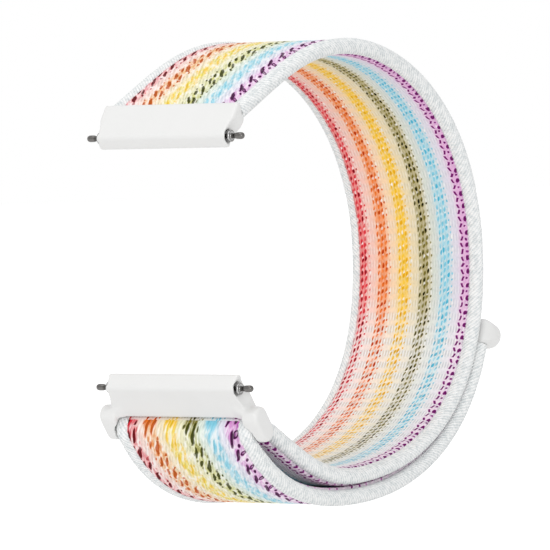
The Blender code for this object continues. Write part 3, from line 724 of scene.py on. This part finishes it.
def outer_face(strap, line):
    """Pale tints with slanted dark thread floats, in pairs and singly by turns, with painted
    highlights on the floats and painted shade between them.
    """
    sizes = strap.weave
    weave = Weave("woven_outer_face", strap, line, sizes.outer_first, sizes.outer_pitch)
    paint, repeat, lean = weave.paint, sizes.outer_repeat / MM, sizes.lean

    odd = (weave.turn(repeat, 0.0).floor() * 0.5).fraction() * 2.0
    pair = weave.dashes(
        repeat, lean, Floats(-0.42, 0.0, 1.0, 0.24, 1.0, 0.15),
        Floats(0.46, 0.08, 0.95, 0.24, 2.0, 0.15),
    )
    single = weave.dashes(
        repeat, lean, Floats(0.12, 0.0, 1.2, 0.29, 3.0, 0.05),
        Floats(-0.58, 0.3, 0.75, 0.21, 4.0, 0.3), Floats(0.72, 0.5, 0.65, 0.19, 8.0, 0.4),
    )
    specks = weave.dashes(
        repeat / 2, lean, Floats(-0.95, 0.35, 0.28, 0.14, 5.0, 0.8),
        Floats(1.0, 0.1, 0.3, 0.13, 15.0, 0.9),
    )
    chain = weave.dashes(
        repeat, lean, Floats(-0.42, 0.1, 1.25, 0.27, 6.0, 0.1),
        Floats(0.4, 0.85, 0.34, 0.22, 9.0, 0.2),
    )
    clots = weave.dashes(repeat, lean * 2.0, Floats(0.46, 0.35, 0.55, 0.36, 7.0, 0.1), hollow=0.35)
    purple, soft = weave.only("purple"), 1.0 - weave.only("yellow", "blue") * 0.5
    strand = (pair * (1.0 - odd) + single * odd).most(specks * 0.8)
    ink = strand * soft * (1.0 - purple) + chain.most(clots) * purple

    slot, rich = weave.after_fold(line, -1.9, -0.9), weave.after_fold(line, -1.0, 8.0)
    clump = weave.cloud(1.1, 0.7, 2.0)
    fleck = weave.cloud(3.2, 1.1, 3.0)
    thread = weave.across + weave.along * lean + weave.drift * 0.3
    ply = (thread / 0.44).wave()
    floats = paint.noise(paint.vector(thread * 2.3, weave.along * 0.62), 1.0, 2.0)
    halo = weave.near.rise(1.3, 0.3)
    tint, loop = weave.by_stripe("tint"), weave.by_stripe("loop")
    tone = paint.mix(halo * (clump * 0.4 + 0.25), weave.ground("tint", 0.5), tint)
    dyed = floats.rise(0.54, 0.4) * halo * clump.rise(0.3, 0.6)
    tone = paint.mix(dyed * 0.9, tone, tint)
    tone = paint.mix(dyed * rich * 0.6, tone, loop)
    tone = paint.mix(slot * weave.near.rise(1.15, 0.65) * fleck.rise(0.28, 0.5), tone, loop)
    tone = weave.threaded(tone, ink, "ink", 0.7)
    # Painted highlights: white laid over the thread floats.
    bright = floats.rise(0.5, 0.62) * (ply * 0.4 + 0.6) * (1.0 - ink * 0.9) * (1.0 - slot * 0.7)
    tone = paint.mix(bright * 0.7, tone, weave.white)
    # Painted shade in the hollows between plies and floats, with random darker flecks.
    dark = (1.0 - fleck.rise(0.3, 0.62)) * 0.2 + (1.0 - ply) * floats.rise(0.56, 0.4) * 0.45
    height = ply * 0.3 + floats * 0.6 + fleck * 0.3 - ink * 0.1
    return paint.finish(weave.shaded(dark, tone), height, sizes.relief)


def wrist_face(strap, line):
    """Softer side: blotched stripes with short dark threads, and bars of white between, with
    painted highlights on the threads and a lower part painted lighter.
    """
    sizes = strap.weave
    weave = Weave("woven_wrist_face", strap, line, sizes.inner_first, sizes.inner_pitch)
    paint, repeat, column = weave.paint, sizes.inner_repeat / MM, sizes.column / MM
    swell = (weave.along / repeat + weave.drift * 0.5 + weave.stripe * weave.LAG).wave()

    places = [((k - 0.2) * column, 0.31 * k, k) for k in (-1, 0, 1, 2)]
    ticks = [(0.36, 0.14, 0.9), (0.36, 0.17, 1.0), (0.36, 0.17, 1.0), (0.17, 0.12, 0.8)]
    ink = weave.dashes(repeat / 2, 0.2, *(
        Floats(centre, phase, half_length, half_width, 10.0 + k, 0.55, strength)
        for (centre, phase, k), (half_length, half_width, strength) in zip(places, ticks)
    )) * (swell * 0.45 + 0.55)
    # Painted highlights: white glints on the threads, strongest where the rows swell.
    glint = weave.dashes(repeat / 2, 0.2, *(
        Floats(centre + 0.1, phase + 0.5, 0.3, 0.13, 30.0 + k, 0.9) for centre, phase, k in places
    )) * swell
    swing = (weave.turn(repeat, 0.2).wave() - 0.5) * 0.3
    beads = weave.turn(repeat / 2, 0.4).wave().rise(0.05, 0.5)
    chain = abs(weave.local + 0.56 + swing).rise(0.24, 0.08) * beads
    dots = weave.dashes(
        repeat, 0.1, Floats(0.17, 0.0, 0.34, 0.24, 21.0, 0.05),
        Floats(0.1, 0.5, 0.18, 0.15, 22.0, 0.3),
    )
    purple = weave.only("purple")
    ink = ink * (1.0 - purple) + (chain * 0.9).most(dots) * purple

    blotch = weave.cloud(0.7, 0.45, 2.0)
    fleck = weave.cloud(3.4, 1.8, 3.0)
    # 0 higher up, 1 on the lower part of the wrist side, which faces up into the light: there the
    # tone is painted whiter as painted light, the white bars grow stronger and the dyed cores
    # fainter.
    low = weave.along.rise(line.mark["back"] / MM + 4.0, line.mark["back"] / MM + 14.0)
    halo = (weave.near + (blotch - 0.5) * 0.9).rise(1.4, 0.2)
    core = (weave.near + (fleck - 0.5) * 1.1).rise(0.95, 0.15)
    core = core * (swell * 0.4 + 0.55) * (1.0 - low * 0.4)
    bar = (weave.across / (column * 0.75)).wave()
    rows = (weave.along / repeat + 0.5).wave().rise(0.1, 0.75)
    bars = bar.rise(0.2, 0.9) * rows * (low * 0.55 + 0.3) * (blotch * 0.8 + 0.5)
    tone = paint.mix(halo, weave.ground("pile", 0.7), weave.by_stripe("pile"))
    tone = paint.mix(bars * (1.0 - core * 0.7), tone, weave.white)
    depth = 0.76 - weave.only("blue", "purple") * 0.44 - weave.only("olive") * 0.22
    tone = paint.mix(core * depth, tone, weave.by_stripe("loop"))
    # Painted highlights: the glints laid on in white.
    tone = paint.mix(glint * 0.95, tone, weave.white)
    # Painted light: the lower part of the wrist side is mixed half-way to white.
    tone = paint.mix(low * 0.5, tone, weave.white)
    tone = weave.threaded(tone, ink, "knot", 0.95)
    # Painted shade in the hollows between the white bars, deeper on the lower part, with random
    # darker flecks.
    dark = (1.0 - fleck.rise(0.3, 0.62)) * 0.2 + (1.0 - bar) * rows * (low * 0.25 + 0.15)
    height = bars * 0.5 + swell * 0.2 + fleck * 0.4 - ink * 0.2
    return paint.finish(weave.shaded(dark, tone), height, sizes.relief)


def rib_turn(strap, along, round_share):
    """Where a place on the rolled edge lies among its slanting ribs."""
    return along / strap.weave.rib_pitch + round_share * strap.weave.rib_starts


def edge_cloth(strap, line):
    """White rolled edge: slanting ribs with painted shade between them and between its fine
    threads, and random darker flecks.
    """
    paint = Paint.of_material("woven_edge", roughness=0.8, specular=0.2)
    round_share, along = paint.cloth(MM, line.length)
    rib = rib_turn(strap, along * MM, round_share).wave()
    threads = (along / 0.3 - round_share * 9.0).wave()
    fleck = paint.noise(paint.vector(round_share * 9.0, along * 1.4), 1.0, 3.0)
    # Painted shade in the hollows between the fine threads, with random darker flecks.
    thread_shade_and_flecks = (1.0 - threads) * 0.12 + (1.0 - fleck.rise(0.35, 0.6)) * 0.34
    dark = rib.rise(0.8, 0.0) * 0.34 + thread_shade_and_flecks
    tone = paint.mix(dark, tuple(strap.dyes.white), tuple(strap.dyes.shade))
    return paint.finish(tone, rib * 0.6 + threads * 0.15 + fleck * 0.3, strap.weave.relief * 0.8)


def moulded_plastic(strap):
    """White satin plastic with the faint unevenness of a moulding."""
    base, roughness = tuple(strap.plastic.colour), strap.plastic.roughness
    paint = Paint.of_material("white_plastic", roughness)
    place = paint.place()
    grain = paint.noise(place, 9000.0)
    cloud = paint.noise(place, 260.0)
    tone = paint.mix(cloud.rise(0.35, 0.7) * 0.25, base, tuple(0.955 * c for c in base))
    paint.give({"Roughness": cloud * 0.1 + (roughness - 0.05)})
    return paint.finish(tone, grain * 0.7 + cloud * 0.5, 0.006 * MM)


def turned_steel(strap):
    """Polished steel: fine rings left by the lathe, a painted highlight on the flanges and painted
    shade in the necks.
    """
    sizes, steel = strap.bar, strap.steel
    paint = Paint.of_material("polished_steel", steel.roughness, metallic=1.0)
    split = paint.node("ShaderNodeSeparateXYZ", None, {0: paint.place()})
    along = abs(Value(paint, split.outputs[0])) / MM
    rings = paint.noise(paint.vector(along * 14.0, 0.0), 1.0)
    face = (sizes.flange_at + sizes.flange_thickness) / MM
    # Painted shade: the neck, sunk between flange and bulb, is painted in a darker steel tone.
    neck = along.rise(face - 0.06, face + 0.06) * along.rise(face + 0.8, face + 0.45)
    # Painted highlight: the flange is painted in the lighter steel tone.
    flange = along.rise(face - 0.35, face - 0.25) * along.rise(face + 0.02, face - 0.04)
    # The darker steel tone is painted shade in the necks and the lathe rings' own darker tone.
    base, shade_and_ring_steel = tuple(steel.colour), tuple(0.3 * c for c in steel.colour)
    tone = paint.mix(flange * 0.8, base, tuple(steel.bright))
    tone = paint.mix(neck.most(rings.rise(0.4, 0.62) * 0.5) * 0.8, tone, shade_and_ring_steel)
    paint.give({"Roughness": rings * 0.2 + (steel.roughness - 0.08)})
    return paint.finish(tone, rings, 0.006 * MM)


def hook_tape(strap):
    """Stiff, slightly milky tape and its monofilament hooks."""
    paint = Paint.of_material("hook_tape", roughness=0.45)
    cloud = paint.noise(paint.place(), 1800.0)
    tone = paint.mix(cloud, tuple(strap.dyes.white), tuple(strap.dyes.shade))
    return paint.finish(tone, cloud, 0.02 * MM)


# Pieces

SIDES = {"left": -1, "right": 1}

# Where a stretch starts and stops bending, from its joint: along Y or Z for the band and the
# peeling tail, along the ribbon's own line for the fold. The last is where the tail's first
# stretch starts, from the fold's joint.
BAND_BEND = 13 * MM
SWING_BEND = (-1.2 * MM, 4 * MM)
PEEL_BEND = (-1.8 * MM, 5.4 * MM)
TAIL_START = -1.8 * MM


class Stretch(NamedTuple):
    """A length of ribbon that crosses one bending line: its solids and how it bends."""
    name: str
    span: tuple
    solids: tuple
    bodies: tuple
    bend_from: tuple
    bend_to: tuple


def stretches(line):
    """The ribbon in four stretches, from the upper link to the pull tab."""
    mark = line.mark
    crown, back, peel = pivot("crown_flex"), pivot("back_flex"), pivot("tail_peel")
    cuts = [
        mark["mouth"] - line.sizes.pocket, (mark["crown"] + mark["back"]) / 2,
        mark["tail_swing"] + TAIL_START, (mark["tail_swing"] + mark["tail_peel"]) / 2,
        mark["tail_end"],
    ]
    spans = list(zip(cuts, cuts[1:]))
    swing = [tuple(line.place(mark["tail_swing"] + way, 0.0, 0.0)) for way in SWING_BEND]
    return [
        Stretch(
            "band_top", spans[0], ("band_upper",), ("band_upper", "band_back"),
            (0, crown[0] - BAND_BEND, crown[1]), (0, crown[0] + BAND_BEND, crown[1]),
        ),
        Stretch(
            "band_wrist", spans[1], ("band_back", "band_lower"), ("band_back", "band_lower"),
            (0, back[0], back[1] + BAND_BEND), (0, back[0], back[1] - BAND_BEND),
        ),
        Stretch("tail_front", spans[2], ("tail_root",), ("band_lower", "tail_root"), *swing),
        Stretch(
            "tail_rear", spans[3], ("tail_tip",), ("tail_root", "tail_tip"),
            *((0, peel[0] + way, peel[1]) for way in PEEL_BEND),
        ),
    ]


def dress(piece, stretch, part):
    """Let a piece stand for its stretch's solids, which are hidden, and bake its place into its
    mesh.
    """
    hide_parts(*(f"{node}_{part}" for node in stretch.solids))
    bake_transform(piece)


def steps_between(start, end, step):
    return max(2, math.ceil((end - start) / step))


def there_and_back(q):
    """-1 to 1 over the first half of the way round a flat tube, and back over the second."""
    return 4 * np.minimum(q, 1 - q) - 1


class STRAP_OT_ribbon_web(bpy.types.Operator):
    """Weave the striped middle of the ribbon"""
    bl_idname = "strap.ribbon_web"
    bl_label = "Ribbon web"

    STEP = 0.55 * MM
    COLUMNS = 34
    LOOPS_STOP = 1 * MM
    LOOPS_RAMP = 3 * MM
    LOOPS_SHOW = 0.3
    LIP_SHARES = (0.8, 0.92)

    def execute(self, context):
        strap = settings()
        sizes = strap.ribbon
        line = RibbonLine(sizes)
        faces = [outer_face(strap, line), wrist_face(strap, line)]
        half_width = sizes.width / 2 - 2 * sizes.edge_radius + sizes.web_tuck
        half = sizes.web_thickness / 2
        fold_middle = (line.mark["fold_in"] + line.mark["fold_out"]) / 2
        tail_end = line.place(line.mark["tail_end"], 0.0, 0.0)[1:]
        loops_from = line.run_nearest(tail_end, line.run <= line.mark["low"]) + sizes.loops_start
        loops_to = line.mark["fold_in"] - self.LOOPS_STOP

        def on_wrist_side(run, q):
            return (q < 0.5) == (run > fold_middle)

        def looped(run):
            """Where the band's outer face has catching loops for the hooks."""
            ramp = self.LOOPS_RAMP
            begun = smooth(run, loops_from, loops_from + ramp)
            return begun * smooth(run, loops_to, loops_to - ramp)

        def section(run, q):
            """Across and height of the web's skin, with its looped pile on one side."""
            across = there_and_back(q) * half_width
            inset = np.maximum(0.0, np.abs(across) - (half_width - half)) / half
            bow = np.sqrt(np.clip(1 - inset ** 2, 0.0, 1.0))
            share = line.squeeze(run) * line.grip(run)
            low, high = self.LIP_SHARES
            lip = smooth(np.abs(across), low * half_width, high * half_width)
            lip = lip * (run > fold_middle) * sizes.pile_edge
            pile = np.where(on_wrist_side(run, q), sizes.pile + lip, sizes.loops * looped(run))
            pile = pile * share ** 4 * np.minimum(bow * 2, 1)
            side = np.where(q < 0.5, 1.0, -1.0)
            across = across * (1 + sizes.pile_spread / sizes.pile / half_width * pile)
            return across, side * bow * (half * share + pile)

        def lay(run, q):
            return line.place(run, *section(run, q))

        def slot_of(run, q):
            return on_wrist_side(run, q) | (looped(run) > self.LOOPS_SHOW)

        def uv_of(run, q):
            return section(run, q)[0] / sizes.width + 0.5, run / line.length

        for stretch in stretches(line):
            counts = (steps_between(*stretch.span, self.STEP), 2 * self.COLUMNS)
            name = f"{stretch.name}_web"
            piece = rolled(name, stretch.span, counts, lay, faces, slot_of, uv_of)
            dress(piece, stretch, "web")
        return {"FINISHED"}


class STRAP_OT_edge_cords(bpy.types.Operator):
    """Roll the ribbon's two white edges"""
    bl_idname = "strap.edge_cords"
    bl_label = "Rolled edges"

    ROUND = 18
    STEPS_PER_RIB = 5

    def execute(self, context):
        strap = settings()
        sizes, weave = strap.ribbon, strap.weave
        line = RibbonLine(sizes)
        cloth = edge_cloth(strap, line)
        centre = sizes.width / 2 - sizes.edge_radius

        def lay(side, run, q):
            turn = 2 * math.pi * q
            rib = 0.5 - 0.5 * np.cos(2 * math.pi * rib_turn(strap, run, q))
            radius = sizes.edge_radius - weave.rib_height * (1 - rib)
            across = side * (centre + radius * np.cos(turn))
            return line.place(run, across, radius * np.sin(turn) * line.squeeze(run))

        def uv_of(run, q):
            return q, run / line.length

        for stretch in stretches(line):
            start, end = stretch.span
            span = (max(start, line.mark["mouth"] - sizes.seat), end)
            counts = (steps_between(*span, weave.rib_pitch / self.STEPS_PER_RIB), self.ROUND)
            for label, side in SIDES.items():
                name = f"{stretch.name}_{label}_edge"
                piece = rolled(name, span, counts, partial(lay, side), [cloth], uv_of=uv_of)
                dress(piece, stretch, f"{label}_edge")
        return {"FINISHED"}


class STRAP_OT_hook_patch(bpy.types.Operator):
    """Lay the hook tape on the tail"""
    bl_idname = "strap.hook_patch"
    bl_label = "Hook patch"

    STRIP_COUNTS = (40, 24)
    SUNK = 0.05 * MM
    WIRE_SIDES = 5
    BEND_STEPS = 5
    BEND_DEGREES = 200

    def execute(self, context):
        strap = settings()
        sizes, hooks = strap.ribbon, strap.hooks
        line = RibbonLine(sizes)
        rear = stretches(line)[-1]
        span = (line.mark["tail_peel"] + hooks.setback, line.mark["tail_end"] - hooks.setback)
        half_width = sizes.width / 2 - 2 * sizes.edge_radius - hooks.margin
        foot = sizes.web_thickness / 2 + sizes.pile
        tape = hook_tape(strap)

        def lay(run, q):
            top = (q > 0) & (q < 0.5)
            height = foot - self.SUNK + top * (hooks.base + self.SUNK)
            return line.place(run, there_and_back(q) * half_width, height)

        strip = rolled("hook_tape_strip", span, self.STRIP_COUNTS, lay, [tape])
        field = self.field(hooks, line, span, half_width, foot + hooks.base, tape)
        for piece in (strip, field):
            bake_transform(piece)
        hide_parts("hook_patch")
        return {"FINISHED"}

    def field(self, hooks, line, span, half_width, foot, tape):
        """Rows of hooks, copied flat (x across, y along, z up) and then laid on the tail."""
        bm = bmesh.new()
        self.hook(bm, hooks)
        width, run = 2 * half_width, span[1] - span[0]
        columns, rows = int(width / hooks.pitch), int(run / hooks.pitch)
        self.repeat(bm, columns, (width / columns, 0.0, 0.0))
        self.repeat(bm, rows, (0.0, run / rows, 0.0))
        across, along, up = np.array([vert.co for vert in bm.verts]).T
        across = across + half_width * (1.0 / columns - 1.0)
        along = along + span[0] + run * 0.5 / rows
        for vert, place in zip(bm.verts, line.place(along, across, up + foot)):
            vert.co = place
        bmesh.ops.recalc_face_normals(bm, faces=bm.faces)
        shade_smooth(bm)
        return finished(bm, "hook_field", [tape])

    @staticmethod
    def repeat(bm, count, step):
        """Copies of all there is, in a row."""
        first = bm.verts[:] + bm.edges[:] + bm.faces[:]
        for k in range(1, count):
            made = bmesh.ops.duplicate(bm, geom=first)["geom"]
            verts = only_kind(made, bmesh.types.BMVert)
            bmesh.ops.translate(bm, vec=Vector(step) * k, verts=verts)

    def hook(self, bm, hooks):
        """One hook: a wire that stands up and turns over, with its point near the tape."""
        _, faces = wire_end(bm, self.WIRE_SIDES, hooks.wire)
        bend = (hooks.height - hooks.wire) / 2
        raised = bmesh.ops.extrude_face_region(bm, geom=faces)["geom"]
        verts = only_kind(raised, bmesh.types.BMVert)
        bmesh.ops.translate(bm, vec=(0.0, 0.0, bend), verts=verts)
        bmesh.ops.spin(
            bm, geom=only_kind(raised, bmesh.types.BMFace), cent=(0.0, bend, bend),
            axis=(-1.0, 0.0, 0.0), angle=math.radians(self.BEND_DEGREES), steps=self.BEND_STEPS,
        )


class STRAP_OT_pull_tab(bpy.types.Operator):
    """Mould the round pull tab on the tail's end"""
    bl_idname = "strap.pull_tab"
    bl_label = "Pull tab"

    COUNTS = (56, 64)

    def execute(self, context):
        strap = settings()
        sizes, tab = strap.ribbon, strap.tab
        line = RibbonLine(sizes)
        end = line.mark["tail_end"]
        origin = line.place(end, 0.0, 0.0)
        up = Vector(line.place(end, 0.0, -1.0) - origin).normalized()
        along = Vector((1.0, 0.0, 0.0)).cross(up)
        if along.z < 0:
            along = -along
        middle = np.array([tab.radius, (tab.rise + tab.radius - tab.base) / 2])
        full = sizes.width / 2 + tab.overhang
        share = 1 - tab.dome / full

        def lay(p, q):
            """The section drawn from end to end, and drawn in at each domed end."""
            reach = 2 * p - 1
            dome = np.clip((np.abs(reach) - share) / (1 - share), 0.0, 1.0)
            scale = np.sqrt(np.clip(1 - dome ** 2, 0.0, 1.0))
            outline = np.array([self.outline(tab, round_share) for round_share in q])
            flat = middle + scale[:, None] * (outline - middle)
            straight = share * reach / np.maximum(share, np.abs(reach))
            x = full * (straight + np.sign(reach) * dome * (1 - share))
            points = np.outer(x, (1.0, 0.0, 0.0)) + origin
            return points + np.outer(flat[:, 0], along) + np.outer(flat[:, 1], up)

        piece = rolled("pull_tab", (0.0, 1.0), self.COUNTS, lay, [moulded_plastic(strap)])
        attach(piece, "tail_tip")
        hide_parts("end_tab")
        return {"FINISHED"}

    @staticmethod
    def outline(tab, share):
        """The tab's section, once round: half a circle above, a rounded foot below."""
        if share <= 0.5:
            turn = 2 * math.pi * share
            return tab.radius * (1 + math.cos(turn)), tab.rise + tab.radius * math.sin(turn)
        foot = tab.foot_round
        drop, bow = tab.rise + tab.base - foot, foot * math.pi / 2
        half = drop + bow + tab.radius - foot
        walk = (share - 0.5) * 4 * half
        at = min(walk, 2 * half - walk)
        if at < drop:
            x, y = 0.0, tab.rise - at
        elif at < drop + bow:
            turn = (at - drop) / foot
            x, y = foot * (1 - math.cos(turn)), foot * (1 - math.sin(turn)) - tab.base
        else:
            x, y = foot + at - drop - bow, -tab.base
        return (x if walk < half else 2 * tab.radius - x), y


class STRAP_OT_end_links(bpy.types.Operator):
    """Mould the end links, with every edge and hollow softened"""
    bl_idname = "strap.end_links"
    bl_label = "End links"

    BODIES = {"upper_end_link": "band_upper", "lower_end_link": "lower_link"}
    FILLET_SETBACK = 0.5 * MM
    FILLET_SWELL = 1.55

    def execute(self, context):
        moulding = settings().plastic
        plastic = moulded_plastic(settings())
        for name, body in self.BODIES.items():
            bm = bmesh.new()
            bm.from_mesh(frame["nodes"][name].data)
            bmesh.ops.remove_doubles(bm, verts=bm.verts, dist=1e-3 * MM)
            if name == "lower_end_link":
                self.fillets(bm, moulding)
            bm = self.reskinned(context, finished(bm, f"{name}_rough", []), moulding.grain)
            for _ in range(moulding.softening):
                bmesh.ops.smooth_vert(
                    bm, verts=bm.verts, factor=0.5, use_axis_x=True, use_axis_y=True,
                    use_axis_z=True,
                )
            shade_smooth(bm)
            piece = finished(bm, f"{name}_moulding", [plastic])
            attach(piece, body)
            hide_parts(name)
        return {"FINISHED"}

    @staticmethod
    def reskinned(context, rough, grain):
        """One skin of small even faces over a rough piece, which goes."""
        skin = rough.modifiers.new("skin", "REMESH")
        skin.mode = "VOXEL"
        skin.voxel_size = grain
        bm = bmesh.new()
        bm.from_mesh(rough.evaluated_get(context.evaluated_depsgraph_get()).data)
        bpy.data.objects.remove(rough)
        return bm

    def fillets(self, bm, moulding):
        """Fill the crease between the lower link's front face and each of its ears."""
        pin = pivot("lower_bar_spin")
        slope = math.degrees(moulding.face_slope)
        along, out = unit(-slope), -unit(90 - slope)
        low, high, deep = moulding.face_low, moulding.face_high, moulding.face_out / 2
        inner = [(low, deep), (low, moulding.face_out), (high, moulding.face_out), (high, deep)]
        top = low + self.FILLET_SETBACK
        outer = [
            (top, deep), (top, self.FILLET_SWELL * moulding.face_out),
            (high, moulding.ear_out), (high, deep),
        ]
        for side in SIDES.values():
            verts = [
                bm.verts.new((side * x, *(pin + a * along + b * out)))
                for x, ring in ((moulding.ramp_start, inner), (moulding.ramp_end, outer))
                for a, b in ring
            ]
            bmesh.ops.convex_hull(bm, input=verts)


class STRAP_OT_spring_bars(bpy.types.Operator):
    """Turn the spring bars' tips, wind their coils and polish them all"""
    bl_idname = "strap.spring_bars"
    bl_label = "Spring bars"

    TURNED_SIDES = 40
    WIRE_SIDES = 8
    COIL_STEPS = 16
    SHARP = math.radians(45)

    def execute(self, context):
        sizes, steel = settings().bar, turned_steel(settings())
        for bar in ("upper", "lower"):
            tube = frame["nodes"][f"{bar}_spring_bar_tube"]
            tube.data.materials.clear()
            tube.data.materials.append(steel)
            centre = Vector(JOINTS[f"{bar}_bar_spin"]["pos_m"])
            for label, side in SIDES.items():
                tip = self.tip(sizes, side, centre, f"{bar}_{label}_plunger", steel)
                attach(tip, f"{bar}_{label}_tip")
                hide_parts(f"{bar}_spring_bar_{label}_tip")
                coil = self.coil(sizes, side, centre, f"{bar}_{label}_coil", steel)
                if label == "left":
                    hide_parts(f"{bar}_spring_bar_spring")
                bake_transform(coil)
        return {"FINISHED"}

    def tip(self, sizes, side, centre, name, steel):
        """Plunger: shoulder and shank in the tube, a dished flange, neck and bulb outside."""
        bulb, neck, rim = sizes.bulb_radius, sizes.neck_radius, sizes.flange_radius
        flange, end = sizes.flange_at, sizes.end
        face, shank = flange + sizes.flange_thickness, sizes.shoulder + 0.4 * MM
        profile = [
            (sizes.shoulder, 0.0), (sizes.shoulder, sizes.shoulder_radius),
            (shank, sizes.shoulder_radius), (shank, sizes.shank_radius),
            (flange, sizes.shank_radius), (flange, rim * 0.9),
            (flange + 0.04 * MM, rim * 0.98), (flange + 0.13 * MM, rim),
            (face - 0.06 * MM, rim * 0.98), (face, rim * 0.88), (face - 0.02 * MM, rim * 0.7),
            (face - 0.06 * MM, neck * 1.3), (face + 0.04 * MM, neck), (face + 0.3 * MM, neck),
            (face + 0.5 * MM, neck + 0.4 * (bulb - neck)), (face + 0.75 * MM, bulb * 0.97),
            (end - 0.5 * MM, bulb), (end - 0.3 * MM, bulb * 0.95), (end - 0.14 * MM, bulb * 0.76),
            (end - 0.04 * MM, bulb * 0.42), (end, 0.0),
        ]
        bm = bmesh.new()
        verts = [bm.verts.new((side * x, radius, 0.0)) for x, radius in profile]
        edges = [bm.edges.new(pair) for pair in zip(verts, verts[1:])]
        bmesh.ops.spin(
            bm, geom=verts + edges, cent=(0.0, 0.0, 0.0), axis=(1.0, 0.0, 0.0),
            angle=2 * math.pi, steps=self.TURNED_SIDES, use_merge=True,
        )
        return self.polished(bm, centre, name, steel)

    def coil(self, sizes, side, centre, name, steel):
        """Half of the coil spring, from the middle of the bar to one tip's shoulder."""
        bm = bmesh.new()
        wire, faces = wire_end(bm, self.WIRE_SIDES, sizes.wire_radius)
        bmesh.ops.translate(bm, vec=(0.0, sizes.coil_radius, 0.0), verts=wire)
        length = sizes.shoulder - 2 * sizes.wire_radius
        turns = length / sizes.coil_pitch
        steps = round(turns * self.COIL_STEPS)
        bmesh.ops.spin(
            bm, geom=faces, cent=(0.0, 0.0, 0.0), axis=(side, 0.0, 0.0),
            dvec=(side * length / steps, 0.0, 0.0), angle=turns * 2 * math.pi, steps=steps,
        )
        return self.polished(bm, centre, name, steel)

    def polished(self, bm, centre, name, steel):
        """The piece in its place, smooth but for its sharp edges."""
        bmesh.ops.translate(bm, vec=centre, verts=bm.verts)
        bmesh.ops.remove_doubles(bm, verts=bm.verts, dist=1e-4 * MM)
        bmesh.ops.recalc_face_normals(bm, faces=bm.faces)
        shade_smooth(bm)
        for edge in bm.edges:
            edge.smooth = edge.calc_face_angle(0.0) < self.SHARP
        return finished(bm, name, [steel])


class STRAP_OT_stage(bpy.types.Operator):
    """Set the floor, the lights and the camera"""
    bl_idname = "strap.stage"
    bl_label = "Stage"

    FLOOR_SIDES = 96
    WHITE = (1.0, 1.0, 1.0)
    FLOOR_TONE = (0.9, 0.9, 0.9)
    FLOOR_GLOW = 0.45
    SKY_LIGHT = 0.84
    SENSOR = 36.0
    CLIP = (0.01, 50.0)
    AIM = Vector((10.88, 7.0, -1.98)) * MM

    def execute(self, context):
        stage = settings().stage
        self.floor(stage)
        self.sky(context)
        self.lamp("soft_top", (-0.1, -0.25, 0.75), target=(0.0, 0.03, 0.0), size=0.5, watts=1.1)
        self.lamp("soft_front", (0.5, -0.85, 0.22), target=(0.0, 0.02, 0.0), size=0.4, watts=2.5)
        self.camera(context, stage)
        context.scene.view_settings.view_transform = "Standard"
        return {"FINISHED"}

    def floor(self, stage):
        """Pale floor, a little brighter to the camera than what it throws on the strap."""
        bm = bmesh.new()
        bmesh.ops.create_circle(
            bm, cap_ends=True, segments=self.FLOOR_SIDES, radius=stage.floor_size
        )
        bmesh.ops.translate(bm, vec=(0.0, 0.0, -stage.floor_drop), verts=bm.verts)
        paint = Paint.of_material("pale_floor", roughness=0.9, specular=0.0)
        paint.give({
            "Base Color": self.FLOOR_TONE, "Emission Color": self.WHITE,
            "Emission Strength": paint.seen() * self.FLOOR_GLOW,
        })
        finished(bm, "floor", [paint.owner])

    def sky(self, context):
        """White where it is seen, and a little dimmer as a light."""
        context.scene.world = bpy.data.worlds.new("studio")
        paint = Paint(context.scene.world, "Background")
        strength = paint.seen() * (1.0 - self.SKY_LIGHT) + self.SKY_LIGHT
        paint.give({"Color": self.WHITE, "Strength": strength})

    @staticmethod
    def lamp(name, place, target, size, watts):
        """A square soft light, in metres and watts."""
        light = bpy.data.lights.new(name, "AREA")
        light.size = size
        light.energy = watts
        lamp = added(name, light)
        lamp.location = place
        lamp.rotation_euler = facing(Vector(place), Vector(target)).to_euler()

    def camera(self, context, stage):
        """Camera on the photograph's line of sight, with the origin left of the middle."""
        turn, rise = stage.azimuth, stage.elevation
        back = Vector((
            math.sin(turn) * math.cos(rise), -math.cos(turn) * math.cos(rise), math.sin(rise)
        ))
        data = bpy.data.cameras.new("camera")
        data.sensor_width = self.SENSOR
        data.lens = stage.lens
        data.clip_start, data.clip_end = self.CLIP
        camera = added("camera", data)
        camera.location = back * stage.distance
        look = facing(camera.location, self.AIM)
        camera.rotation_mode = "QUATERNION"
        camera.rotation_quaternion = look @ Quaternion((0.0, 0.0, 1.0), stage.roll)
        context.scene.camera = camera


OPERATORS = (
    STRAP_OT_stage, STRAP_OT_ribbon_web, STRAP_OT_edge_cords, STRAP_OT_hook_patch,
    STRAP_OT_pull_tab, STRAP_OT_end_links, STRAP_OT_spring_bars,
)


class STRAP_PT_panel(bpy.types.Panel):
    """The strap's steps and sizes"""
    bl_idname = "STRAP_PT_panel"
    bl_label = "Watch strap"
    bl_space_type = "VIEW_3D"
    bl_region_type = "UI"
    bl_category = "Strap"

    def draw(self, context):
        column = self.layout.column()
        for operator in OPERATORS:
            column.operator(operator.bl_idname)
        for name, group in GROUPS.items():
            box = self.layout.box()
            box.label(text=name.capitalize())
            for size in group.__annotations__:
                box.prop(getattr(context.scene.watch_strap, name), size)


CLASSES = (*GROUPS.values(), StrapSettings, *OPERATORS, STRAP_PT_panel)


def register():
    for item in CLASSES:
        bpy.utils.register_class(item)
    bpy.types.Scene.watch_strap = PointerProperty(type=StrapSettings)


def unregister():
    del bpy.types.Scene.watch_strap
    for item in reversed(CLASSES):
        bpy.utils.unregister_class(item)


def main():
    register()
    bpy.ops.strap.stage()
    bpy.ops.strap.ribbon_web()
    bpy.ops.strap.edge_cords()
    bpy.ops.strap.hook_patch()
    bpy.ops.strap.pull_tab()
    bpy.ops.strap.end_links()
    bpy.ops.strap.spring_bars()


if __name__ == "__main__":
    main()
